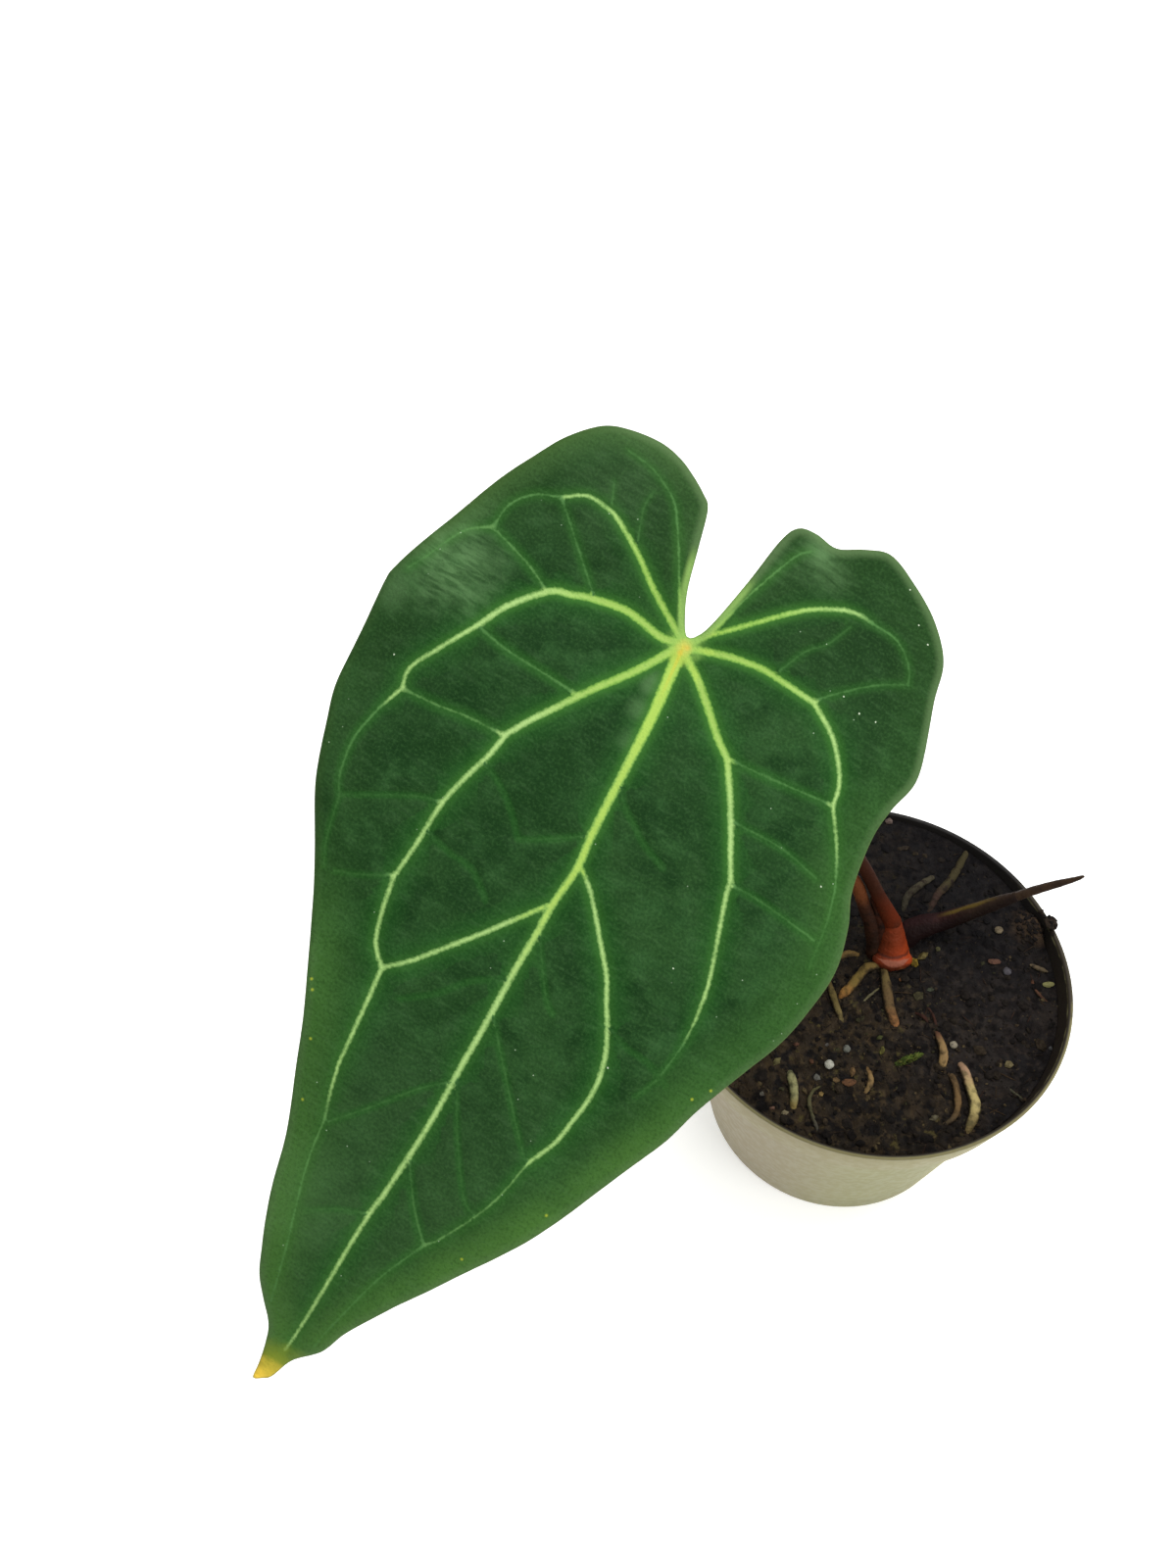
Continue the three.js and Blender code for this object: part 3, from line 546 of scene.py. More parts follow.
paint = coat(tree, paint, FAR_DARK_COLOUR, far_darkening_of(tree, place))
heap = spot_at(tree, place, (HEAP_X * MM, HEAP_Y * MM, 0.083), 0.009, Soft=0.7, Ragged=0.6,
               Per_Metre=300)
paint = coat(tree, paint, (58, 45, 33), heap)
wet = patches(tree, place, 380, Detail=3, Low=0.35, High=0.65)
tree.links.new(spread(tree, wet, 0, 1, 0.95, 0.6), shader.inputs["Roughness"])
finish(tree, shader, paint, place, Per_Metre=1600, Detail=5, Height=0.0006)
mix.data.materials.append(soil)
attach(mix, "root")
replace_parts(mix, "soil")

mix_surface = BVHTree.FromObject(mix, bpy.context.evaluated_depsgraph_get())


def on_mix(x, y):
    """The point on the finished mix at x, y, given in millimetres."""
    hit = mix_surface.ray_cast(Vector((x * MM, y * MM, 0.12)), Vector((0, 0, -1)))[0]
    return hit or Vector((x * MM, y * MM, mix_height(x, y) * MM))


def stone_shape(detail, unevenness, seed):
    """A small uneven lump about the origin, one unit in radius: its corners and faces."""
    deselect_all()
    bpy.ops.mesh.primitive_ico_sphere_add(subdivisions=detail, radius=1)
    lump = bpy.context.object
    bpy.ops.object.mode_set(mode="EDIT")
    bpy.ops.transform.vertex_random(offset=unevenness, seed=seed)
    bpy.ops.object.mode_set(mode="OBJECT")
    corners = np.array([vertex.co for vertex in lump.data.vertices])
    faces = [tuple(face.vertices) for face in lump.data.polygons]
    bpy.data.objects.remove(lump)
    return corners, faces


def fibre_shape(bend):
    """A thin bent strand along x, one unit in half length and in half thickness."""
    steps, sides = 6, 5
    corners = []
    for i in range(steps + 1):
        along = 2 * i / steps - 1
        thick = math.sqrt(max(0.05, 1 - along**4))
        for j in range(sides):
            turn = 2 * math.pi * j / sides
            corners.append((along, thick * math.cos(turn) + bend * (1 - along**2),
                            thick * math.sin(turn)))
    faces = []
    for i in range(0, steps * sides, sides):
        for j in range(sides):
            after = (j + 1) % sides
            faces.append((i + j, i + after, i + sides + after, i + sides + j))
    faces += [tuple(range(sides))[::-1], tuple(steps * sides + j for j in range(sides))]
    return np.array(corners), [face[::-1] for face in faces]


def gather(name, copies):
    """One piece of many copies: each a shape, a place, half sizes, a turn and a colour."""
    corners, faces, tones = [], [], []
    for (shape, shape_faces), place, sizes, turn, tone in copies:
        first = len(corners)
        turned = (shape * np.array(sizes)) @ np.array(Euler(turn).to_matrix()).T
        corners.extend(turned * MM + np.array(place))
        faces.extend([tuple(first + corner for corner in face) for face in shape_faces])
        tones.extend([tone] * len(shape))
    mesh = bpy.data.meshes.new(name)
    mesh.from_pydata([tuple(corner) for corner in corners], [], faces)
    tint = mesh.color_attributes.new("tint", "FLOAT_COLOR", "POINT")
    tint.data.foreach_set("color", [part for tone in tones for part in tone])
    piece = bpy.data.objects.new(name, mesh)
    bpy.context.collection.objects.link(piece)
    return piece


def dress_crumbs(name, roughness, darkens_far=False):
    """Bits of mix, each in its own colour, with darker hollows."""
    material, shader, tree, place = new_finish(name, Roughness=roughness, Specular_IOR_Level=0.1)
    tint = tree.nodes.new("ShaderNodeVertexColor")
    tint.layer_name = "tint"
    hollows = patches(tree, place, 900, Detail=3, Low=0.35, High=0.65)
    hollows = layer(tree, hollows, (1, 1, 1, 1), (0.45, 0.42, 0.4, 1))
    paint = layer(tree, 1.0, tint.outputs["Color"], hollows, "MULTIPLY")
    if darkens_far:
        paint = coat(tree, paint, FAR_DARK_COLOUR, far_darkening_of(tree, place))
    finish(tree, shader, paint, place, Per_Metre=2500, Height=0.0003)
    return material


# Crumbs, clods and strands: their colours, how many of each, and how the strands bend
CRUMB_COLOURS = [(20, 16, 14), (27, 22, 18), (34, 28, 21), (45, 37, 27), (58, 48, 34), (80, 68, 46),
                 (54, 52, 34)]
CRUMB_WEIGHTS = [26, 26, 20, 12, 8, 4, 3]
STRAND_COLOURS = [(40, 31, 23), (52, 40, 29), (64, 50, 35), (48, 33, 25), (36, 28, 22)]
STRAND_BENDS = (0.12, -0.25, 0.45)
CRUMB_COUNT, CLOD_COUNT, STRAND_COUNT = 2300, 150, 170
ANY_WAY = 6.28
DICE_SEED = 5
dice = random.Random(DICE_SEED)


def somewhere(reach):
    """A random point on the mix, at most so many millimetres out."""
    turn, out = dice.uniform(0, 2 * math.pi), reach * math.sqrt(dice.random())
    return on_mix(out * math.cos(turn), out * math.sin(turn))


stones = [stone_shape(1, 0.55, seed) for seed in range(5)]
clods = [stone_shape(2, 0.3, seed) for seed in range(3)]
strands = [fibre_shape(bend) for bend in STRAND_BENDS]
copies = []
for _ in range(CRUMB_COUNT):
    place = somewhere(56.5)
    size = 0.22 + 0.75 * dice.random() ** 3
    tone = colour(*dice.choices(CRUMB_COLOURS, CRUMB_WEIGHTS)[0])
    sizes = (size * dice.uniform(0.8, 1.5), size, size * dice.uniform(0.5, 0.9))
    spin = (dice.uniform(-0.6, 0.6), dice.uniform(-0.6, 0.6), dice.uniform(0, ANY_WAY))
    copies.append((dice.choice(stones), place, sizes, spin, tone))
for _ in range(CLOD_COUNT):
    place = somewhere(55)
    size = dice.uniform(0.8, 1.6)
    tone = colour(*dice.choices(CRUMB_COLOURS[:4], CRUMB_WEIGHTS[:4])[0])
    sizes = (size * dice.uniform(0.9, 1.5), size, size * dice.uniform(0.4, 0.7))
    copies.append((dice.choice(clods), place, sizes, (0, 0, dice.uniform(0, ANY_WAY)), tone))
for _ in range(STRAND_COUNT):
    place = somewhere(55) + Vector((0, 0, 0.1 * MM))
    length = dice.uniform(0.9, 3.2)
    tone = colour(*dice.choice(STRAND_COLOURS))
    spin = (0, dice.uniform(-0.15, 0.15), dice.uniform(0, ANY_WAY))
    copies.append((dice.choice(strands), place, (length, 0.17, 0.15), spin, tone))
crumbs = gather("mix_crumbs", copies)
crumbs.data.materials.append(dress_crumbs("crumbled_mix", 0.85, darkens_far=True))
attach(crumbs, "root")

# Odd bits on the mix
# What the eye picks out on the dark mix: pale grains, flakes of bark and husk and scraps of moss,
# each of its own kind and colour, pressed in by watering. Place, half sizes, turn and colour.
ODD_GRAINS = [
    (-12.8, -32.9, 1.2, 0.8, 0.6, 10, (92, 73, 47)),
    (-7.8, -30.6, 1.6, 0.9, 0.6, 75, (96, 74, 48)),
    (-17.4, -36.9, 0.9, 0.7, 0.5, 0, (118, 98, 58)),
    (-18.4, -32.2, 1.3, 1, 0.5, 20, (84, 82, 76)),
    (-14.4, -22.3, 0.8, 0.7, 0.5, 40, (74, 70, 66)),
    (-29.4, -27.1, 1.5, 0.9, 0.5, 60, (92, 86, 54)),
    (-23.5, -21.9, 0.9, 0.7, 0.5, 0, (78, 52, 40)),
    (-19.4, -27.2, 0.8, 0.7, 0.5, 30, (78, 52, 36)),
    (-34.7, -37.3, 0.9, 0.7, 0.5, 0, (82, 78, 70)),
    (-31.9, -41.4, 1, 0.7, 0.5, 20, (104, 78, 64)),
    (-28.3, -42.6, 1, 0.7, 0.5, 30, (116, 106, 82)),
    (14.2, -43.9, 1.4, 1, 0.6, 15, (86, 80, 62)),
    (38.4, -27.9, 1.5, 1.1, 0.7, -20, (98, 88, 60)),
    (51.4, -23, 0.7, 0.6, 0.5, 0, (76, 76, 78)),
    (1.7, -24, 1.6, 0.9, 0.5, 70, (84, 80, 36)),
    (1.6, -19.7, 1, 0.6, 0.4, 40, (60, 62, 32)),
    (18.6, -4, 1.2, 0.8, 0.5, 0, (62, 66, 52)),
    (14.7, -6.1, 2.1, 1.3, 0.5, 25, (58, 54, 34)),
    (13.1, 55.3, 1.6, 1.1, 0.7, 0, (92, 78, 72)),
    (17, 46, 2.4, 1, 0.5, 10, (48, 40, 31)),
    (15.2, 5.5, 1.6, 1.2, 1.1, -30, (118, 98, 34)),
    (17.9, 7.4, 1.9, 1.2, 0.9, 30, (86, 76, 42)),
    (22.9, 9.6, 1, 0.7, 0.5, 20, (74, 72, 46)),
    (10.3, -0.6, 1.1, 0.7, 0.6, 10, (116, 78, 48)),
]
copies = []
for i, (x, y, length, width, thickness, turn, tone) in enumerate(ODD_GRAINS):
    place = on_mix(x, y) + Vector((0, 0, 0.45 * thickness * MM))
    spin = (0, 0, math.radians(turn))
    copies.append((stones[i % len(stones)], place, (length, width, thickness), spin, colour(*tone)))
odd_bits = gather("odd_bits", copies)
odd_bits.data.materials.append(dress_crumbs("odd_husks", 0.7))
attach(odd_bits, "root")

# Perlite
# Grains of puffed white volcanic glass, chalky, light and full of tiny pits. They were stirred into
# the mix, so they lie half sunk in it, and damp and mud have stained most of them.
PERLITE_TINTS = [(170, 167, 154), (92, 92, 84), (128, 119, 102), (110, 97, 76), (75, 71, 75)]


def roughen(height, size, depth=2):
    """Uneven lumps over the active piece, of a height and size in millimetres."""
    lumps = bpy.data.textures.new("lumps", "CLOUDS")
    lumps.noise_scale = size * MM
    lumps.noise_depth = depth
    apply_modifier("DISPLACE", texture=lumps, strength=height * MM, mid_level=0.5,
                   texture_coords="LOCAL")


def solid_box(node):
    """The middle of a CAD node's box, in metres, and its half sizes, in millimetres."""
    low, high = (Vector(corner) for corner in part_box(node))
    return (low + high) / 2, (high - low) / 2 / MM


def lump_in_place(name, middle, sizes, turn=0.0, seed=0, unevenness=0.2):
    """A rounded lump at its place and size: a ball of few faces, pushed about and subdivided."""
    deselect_all()
    bpy.ops.mesh.primitive_ico_sphere_add(subdivisions=2, radius=MM)
    piece = bpy.context.object
    piece.name = name
    bpy.ops.object.mode_set(mode="EDIT")
    bpy.ops.transform.vertex_random(offset=unevenness * MM, seed=seed)
    bpy.ops.transform.resize(value=tuple(sizes), center_override=(0, 0, 0))
    bpy.ops.transform.rotate(value=-turn, orient_axis="Z", center_override=(0, 0, 0))
    bpy.ops.transform.translate(value=tuple(middle))
    bpy.ops.object.mode_set(mode="OBJECT")
    apply_modifier("SUBSURF", levels=2, render_levels=2)
    bpy.ops.object.shade_smooth()
    return piece


def dress_lump(name, tint, pit_share=0.55, pits_per_metre=900, roughness=0.9):
    """A dull surface in one colour, darker in its pits."""
    material, shader, tree, place = new_finish(name, Roughness=roughness, Specular_IOR_Level=0.15)
    pits = patches(tree, place, pits_per_metre, Detail=4, Low=0.5, High=0.7)
    clouds = patches(tree, place, pits_per_metre / 3, Detail=3, Low=0.35, High=0.65)
    paint = coat(tree, colour(*tint), shade(tint, 0.78), clouds, 0.6)
    paint = coat(tree, paint, shade(tint, pit_share), pits)
    finish(tree, shader, paint, place, Per_Metre=2 * pits_per_metre, Height=0.0003)
    return material


for i, tint in enumerate(PERLITE_TINTS, start=1):
    middle, half = solid_box(f"perlite_{i}")
    perlite = lump_in_place(f"perlite_grain_{i}", middle, half * 0.97, seed=i)
    roughen(0.3, 0.7)
    perlite.data.materials.append(dress_lump(f"pitted_perlite_{i}", tint))
    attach(perlite, "root")
    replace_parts(perlite, f"perlite_{i}")

# Bark chips
# Thin flakes of composted bark from the mix, brown to olive, with frayed ends and a grain along
# them. They lie loose and flat on top.
CHIP_TINTS = [(116, 112, 70), (88, 75, 56), (84, 58, 46), (93, 63, 41)]
CHIP_TURNS = [5, -28, -3, 5]
for i, (tint, turn) in enumerate(zip(CHIP_TINTS, CHIP_TURNS), start=1):
    middle, half = solid_box(f"bark_chip_{i}")
    slant = abs(math.radians(turn))
    length = (half.x * math.cos(slant) - half.y * math.sin(slant)) / math.cos(2 * slant)
    width = (half.y * math.cos(slant) - half.x * math.sin(slant)) / math.cos(2 * slant)
    chip = lump_in_place(f"bark_flake_{i}", middle, (length, max(width, 0.8), half.z * 0.9),
                         math.radians(turn), seed=20 + i, unevenness=0.3)
    roughen(0.35, 0.9)
    chip.data.materials.append(dress_lump(f"flaky_bark_{i}", tint, pit_share=0.45, pits_per_metre=700))
    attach(chip, "root")
    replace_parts(chip, f"bark_chip_{i}")

# Crumb on the rim
# A clod of damp mix that was left on the pot's lip beside the heap when the plant was potted. It
# only lies there, with smaller crumbs round it and on the heap.
HEAP_CRUMBS, HEAP_SPREAD = 90, 4.5
CLOD_CRUMBS = 14
HEAP_COLOURS = [(40, 31, 23), (52, 41, 30), (64, 50, 36), (34, 27, 21)]
middle, half = solid_box("rim_crumb")
clod = lump_in_place("rim_clod", middle, half * 0.9, seed=4, unevenness=0.25)
roughen(0.9, 1.8)
roughen(0.4, 0.6)
clod.data.materials.append(dress_lump("crumbly_clod", (42, 33, 25), pits_per_metre=600))
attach(clod, "root")
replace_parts(clod, "rim_crumb")

copies = []
for _ in range(HEAP_CRUMBS):
    x, y = HEAP_X + dice.uniform(-1, 1) * HEAP_SPREAD, HEAP_Y + dice.uniform(-1, 1) * HEAP_SPREAD
    if math.hypot(x, y) < RIM_RADIUS - 0.8:
        size = dice.uniform(0.3, 0.9)
        on_lip = Vector((x * MM, y * MM, POT_HEIGHT * MM))
        place = on_lip if math.hypot(x, y) > RIM_RADIUS - WALL - 0.2 else on_mix(x, y)
        tone = colour(*dice.choice(HEAP_COLOURS))
        copies.append((dice.choice(stones), place, (size * 1.3, size, size * 0.8),
                       (0, 0, dice.uniform(0, 6)), tone))
for _ in range(CLOD_CRUMBS):
    side = Vector((dice.uniform(-0.7, 0.7), dice.uniform(-0.8, 0.8),
                   dice.uniform(-0.2, 0.8))) * half * MM
    size = dice.uniform(0.3, 0.7)
    copies.append((dice.choice(stones), middle + side, (size, size, size),
                   (0, 0, dice.uniform(0, 6)), colour(36, 28, 22)))
heap_crumbs = gather("heap_crumbs", copies)
heap_crumbs.data.materials.append(crumbs.data.materials[0])
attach(heap_crumbs, "root")

# Crown
# The short swollen stem that everything grows from, planted in the mix: fleshy, waxy and
# red-brown, flared at its foot, with a pale pink crescent where an old leaf came away.
STEM_PATH = [
    (8.8, 6.5, 56, 3.2),
    (8.6, 7.4, 70, 4.8),
    (8.3, 8.2, 79, 6),
    (7.7, 10.2, 86, 4.3),
    (6.9, 12, 92, 3),
    (1, 12.8, 105, 2.05),
    (-6.2, 13, 121, 1.9),
    (-34, 11.5, 174, 1.9),
    (-56, 4.5, 211, 1.9),
    (-63.2, 0.4, 224.5, 2.5),
]
SCAR_PLACE = (8.2, 5.6, 80.8)
SCAR_SIZE = (6.2, 4.1, 3.2)
SCAR_TILT = math.radians(-25)


def grow_stalk(name, path, sides=24, steps=8):
    """A round stalk along points of x, y, z and radius in millimetres, with rounded ends."""
    deselect_all()
    bpy.ops.curve.primitive_bezier_curve_add()
    line = bpy.context.object
    line.name = name
    first, last = Vector(path[0][:3]), Vector(path[-1][:3])
    before = (first - Vector(path[1][:3])).normalized() * path[0][3]
    after = (last - Vector(path[-2][:3])).normalized() * path[-1][3]
    ends = [(0.95, 0.25), (0.75, 0.66), (0.4, 0.92)]
    points = [(*(first + before * out), path[0][3] * wide) for out, wide in ends]
    points += path
    points += [(*(last + after * out), path[-1][3] * wide) for out, wide in reversed(ends)]
    spline = line.data.splines[0]
    spline.bezier_points.add(len(points) - len(spline.bezier_points))
    for point, (x, y, z, radius) in zip(spline.bezier_points, points):
        point.co = Vector((x, y, z)) * MM
        point.radius = radius
        point.handle_left_type = point.handle_right_type = "AUTO"
    line.data.dimensions = "3D"
    line.data.resolution_u = steps
    line.data.bevel_depth = MM
    line.data.bevel_resolution = (sides - 4) // 2
    line.data.use_fill_caps = True
    bpy.ops.object.convert(target="MESH")
    bpy.ops.object.mode_set(mode="EDIT")
    bpy.ops.mesh.select_all(action="SELECT")
    bpy.ops.mesh.remove_doubles(threshold=0.002 * MM)
    bpy.ops.mesh.normals_make_consistent(inside=False)
    bpy.ops.object.mode_set(mode="OBJECT")
    bpy.ops.object.transform_apply()
    bpy.ops.object.shade_smooth()
    return bpy.context.object


crown = grow_stalk("crown_skin", STEM_PATH[:5])
deselect_all()
bpy.ops.mesh.primitive_uv_sphere_add(segments=40, ring_count=24, radius=MM)
scar = bpy.context.object
scar.scale = SCAR_SIZE
scar.rotation_euler.x = SCAR_TILT
scar.location = Vector(SCAR_PLACE) * MM
bpy.ops.object.transform_apply()
crown.select_set(True)
bpy.context.view_layer.objects.active = crown
bpy.ops.object.join()
apply_modifier("REMESH", mode="VOXEL", voxel_size=0.3 * MM)
apply_modifier("SMOOTH", iterations=4)
roughen(0.5, 3)
roughen(0.2, 0.9)
bpy.ops.object.shade_smooth()

skin, shader, tree, place = new_finish("crown_wax", Roughness=0.5, Specular_IOR_Level=0.08)
# Painted light brightens the crown's right side and painted shade darkens its left flank; its top is
# also painted darker.
rightward = spread(tree, axis_of(tree, place, 0), 0.004, 0.0095)
paint = coat(tree, colour(82, 34, 17), (132, 50, 20), rightward)
upward = spread(tree, axis_of(tree, place, 2), 0.083, 0.0905)
paint = coat(tree, paint, (90, 37, 17), upward, 0.8)
paint = coat(tree, paint, (106, 40, 17), patches(tree, place, 260, Detail=5, Low=0.46, High=0.7))

# The scar: a lens bowed down in the middle, with a dark line over it
across_scar = sum_of(tree, "DIVIDE", minus(tree, axis_of(tree, place, 0), 0.0081), 0.0048)
bow = times(tree, across_scar, across_scar)
up_scar = vector_sum(tree, "DOT_PRODUCT", place, (0, 0.79, 0.62))
ragged = times(tree, noise_of(tree, place, 500, 3), 0.0012)
up_scar = plus(tree, minus(tree, up_scar, 0.0542), ragged)
middle_line = minus(tree, times(tree, bow, 0.0016), 0.0002)
from_line = sum_of(tree, "ABSOLUTE", minus(tree, up_scar, middle_line))
half_scar = sum_of(tree, "MAXIMUM", times(tree, minus(tree, 1.0, bow), 0.0013), 0.00005)
lens = spread(tree, sum_of(tree, "DIVIDE", from_line, half_scar), 1.15, 0.6)
above_line = sum_of(tree, "ABSOLUTE", minus(tree, up_scar, plus(tree, middle_line, 0.0019)))
brow = times(tree, spread(tree, above_line, 0.0007, 0.0002), spread(tree, bow, 1.3, 0.9))
foot = spread(tree, up_scar, 0.0001, -0.0009)
paint = coat(tree, paint, (82, 35, 19), foot, 0.85)
paint = coat(tree, paint, (46, 20, 14), brow, 0.7)
paint = coat(tree, paint, (128, 74, 57), lens)
bruise = spot_at(tree, place, (0.0108, 0.0006, 0.0806), 0.0022, Soft=0.6, Ragged=0.4, Per_Metre=700)
paint = coat(tree, paint, (118, 74, 42), bruise)
buried = spread(tree, axis_of(tree, place, 2), 0.079, 0.077)
paint = coat(tree, paint, (30, 22, 17), buried)
finish(tree, shader, paint, place, Per_Metre=1400, Detail=4, Height=0.0002)
crown.data.materials.append(skin)
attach(crown, "root")
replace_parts(crown, "crown")

# Leaf blade
# One velvety heart-shaped blade, hung by its base from the stalk: arched along, drooping at the
# sides, sunk to a funnel over the joint, with sunken pale veins above and raised ribs below.
LEAF_JOINT = Vector((-64.5, -7, 233.5))
LEAF_TIP = Vector((-157.5, -127.5, 129.5))
LEAF_FACING = Vector((-0.03, -0.64, 0.77))
LEAF_LENGTH = (LEAF_JOINT - LEAF_TIP).length
LEAF_THICKNESS = 0.8
MARGIN_THICKNESS = 0.35
LEAF_ARCH = 11
LEAF_DROOP = 6
LEAF_HALF_WIDTH = 57
LEAF_TWIST = 0.03
FUNNEL_DEPTH = 2.2
FUNNEL_RADIUS = 11
WAVE_HEIGHT = 1.2
WAVE_LENGTH = 41
WAVE_REACH = 12
QUILT_HEIGHT = 0.55
QUILT_WIDTH = 7
VEIN_GROOVE = 0.45
HUB_HEIGHT = 2.2
HUB_RADIUS = 3.5
PUCKER_HEIGHT = 0.22
PUCKER_SIZE = 9
EDGE_TAPER = 1.5
EDGE_DROP = 0.25
EDGE_DROP_WIDTH = 0.6
NET_STEP = 1.05
NET_CLEARANCE = 0.45
NET_CELL = 0.7
SAMPLE_STEP = 0.4
NEAREST_SAMPLES = 10

# The outline, from the notch round by the left lobe and the tip: x across, y towards the lobes
LEAF_OUTLINE = [
    (-0.5, 2.5), (-3, 6), (-5.5, 11.5), (-8, 20.5), (-10.5, 29), (-13, 31.5), (-17, 34),
    (-21.5, 36), (-27, 37), (-34.5, 36), (-40, 33.5), (-45, 27.5), (-49, 20), (-53.5, 11),
    (-58, -2.5), (-62, -15.5), (-62.5, -20), (-61.5, -31), (-60, -43.5), (-57, -52),
    (-52.5, -64), (-46.5, -74.5), (-40, -86), (-34, -97.5), (-29.5, -107), (-25, -119.5),
    (-20.5, -131.5), (-17.5, -142.5), (-13, -155.5), (-10.5, -162), (-7, -167),
    (-3.5, -171.5), (-2, -176), (-1, -181), (-0.5, -184.5), (1.5, -183.5), (3, -182),
    (5, -176.5), (9.5, -170.5), (12, -162.5), (16.5, -154), (23, -144.5), (29, -134.5),
    (35.5, -122.5), (42, -109), (48.5, -92.5), (51.5, -82.5), (56.5, -71), (60, -62),
    (62, -50.5), (62.5, -42), (60.5, -33.5), (57.5, -26.5), (55.5, -15), (56, -7.5),
    (58, 0), (57, 7), (53.5, 18), (51, 26.5), (44.5, 33.5), (36, 38.5), (29, 41),
    (23.5, 39), (18, 36), (12.5, 36.5), (8.5, 35.5), (6.5, 31), (5, 20), (3, 8.5), (1.5, 4),
]

# The veins: width and paleness at the start and the end, the rib's height below at both, path
MAIN_VEINS = [
    (3, 1.95, 1, 1, 1.6, 1.2, [(0, 0), (0.5, -6), (1.2, -11.4), (1.8, -17.5), (2.1, -23), (2.4, -29)]),
    (1.95, 1.45, 1, 1, 1.2, 1, [(2.4, -29), (3.2, -43), (4.1, -51), (3.5, -60), (3.7, -67), (3.6, -74)]),
    (1.45, 1.15, 1, 0.95, 1, 0.7, [(3.6, -74), (4.1, -91.5), (4.1, -97.5), (4.5, -110), (4.3, -120),
                                   (3.8, -131)]),
    (1.15, 0.6, 0.95, 0.85, 0.7, 0.4, [(3.8, -131), (3.2, -137), (3, -149), (3, -161), (2.8, -170.5),
                                       (2.5, -175)]),
    (1.5, 0.5, 0.95, 0.45, 0.7, 0.3, [(-0.5, 1), (-3, 4.4), (-5.2, 7.8), (-6.8, 10.2), (-8, 12)]),
    (1.5, 0.7, 0.95, 0.5, 0.5, 0.3, [(0.4, 1.4), (3, 4.8), (4.1, 7.8), (5.2, 11.7)]),
    (1.5, 1, 1, 0.8, 1.1, 0.8, [(-1.5, 1.5), (-8.3, 5.5), (-12.7, 8.3), (-16.9, 11.4), (-20.9, 14),
                                (-24.7, 16.2), (-27.5, 17.6)]),
    (0.9, 0.75, 0.7, 0.65, 0.8, 0.6, [(-27.5, 17.6), (-32, 18.2), (-35, 17.8), (-39, 15)]),
    (1.85, 1.3, 1, 1, 1.2, 0.9, [(-1.5, 0.5), (-5.5, -0.4), (-14, 0.7), (-22, -0.8), (-26, -2.3),
                                 (-30.5, -4), (-36.5, -11), (-40, -18)]),
    (1.1, 0.8, 1, 0.9, 0.9, 0.7, [(-40, -18), (-42.4, -22.3), (-44.5, -26.2), (-47.8, -33),
                                  (-47, -37.5)]),
    (0.9, 0.5, 0.9, 0.35, 0.6, 0.4, [(-47, -37.5), (-48, -40.5), (-49, -43.5)]),
    (1.95, 1.3, 1, 1, 1.2, 0.9, [(-1, -0.5), (-5, -7.5), (-7.8, -11.7), (-11, -16), (-14, -20.4),
                                 (-16.9, -24.9), (-20, -29.6), (-22.8, -34.6)]),
    (1.25, 0.95, 1, 0.95, 0.9, 0.7, [(-22.8, -34.6), (-23.7, -40.3), (-25.2, -45.4), (-27, -53.5),
                                     (-27.3, -63.5), (-27.9, -71.5)]),
    (0.95, 1, 0.95, 0.95, 0.7, 0.7, [(-27.9, -71.5), (-26.6, -78.5), (-24.3, -85.6), (-20.5, -89.5)]),
    (1.1, 0.75, 0.95, 0.8, 0.7, 0.4, [(-20.5, -89.5), (-19.6, -97), (-18.9, -104), (-18.2, -111.5)]),
    (0.75, 0.6, 0.8, 0.4, 0.4, 0.3, [(-18.2, -111.5), (-16.7, -117.8), (-15, -123.6)]),
    (1.1, 1, 1, 0.95, 0.8, 0.6, [(2.5, -61), (-2.2, -67.3), (-6.1, -72.6), (-10.1, -77.6),
                                 (-15.6, -84.6), (-20.5, -89.5)]),
    (1.15, 1, 1, 0.9, 1, 0.8, [(0.5, 1), (3.5, 5), (7.1, 8.7), (11.4, 13.2), (15.7, 17.7), (20, 21.5),
                               (26, 25)]),
    (1, 0.8, 0.85, 0.35, 0.6, 0.4, [(26, 25), (29.5, 25.8), (33, 25.7)]),
    (1.7, 1.25, 1, 1, 1.1, 0.8, [(1, 0.5), (8.5, 3), (13.1, 4), (17.5, 4.6), (23.5, 4.3), (30, 4)]),
    (1.2, 0.9, 1, 0.9, 0.8, 0.5, [(30, 4), (37.5, -0.7), (43, -7.6), (44.5, -13)]),
    (0.8, 0.5, 0.8, 0.3, 0.5, 0.3, [(44.5, -13), (49.3, -19.7), (51.8, -23.9), (54, -28.5)]),
    (1.9, 1.55, 1, 1, 1.1, 0.8, [(1, -1), (5.9, -4.2), (10, -7.6), (16, -13), (19.8, -15.7)]),
    (1.45, 1.2, 1, 1, 0.8, 0.6, [(19.8, -15.7), (23.9, -21.7), (27.5, -27.5), (30.3, -32.5), (33, -37)]),
    (1.1, 0.8, 1, 0.85, 0.6, 0.4, [(33, -37), (34.2, -41.4), (36, -46.5), (39.6, -56.8), (40.8, -61.5)]),
    (0.8, 0.4, 0.85, 0.4, 0.4, 0.3, [(40.8, -61.5), (41.5, -66.5), (41.7, -70), (41.8, -72)]),
    (0.9, 1.15, 1, 1, 0.9, 0.7, [(4.1, -50), (8.3, -53.2), (11.9, -57), (16.2, -62), (20.5, -67),
                                 (23.4, -71.9), (26.3, -76.6), (28.9, -81.8), (30.3, -87)]),
    (1.1, 0.9, 1, 0.9, 0.7, 0.5, [(30.3, -87), (30.5, -91.6), (30, -96.5), (29.1, -103),
                                  (26.4, -109.5)]),
]

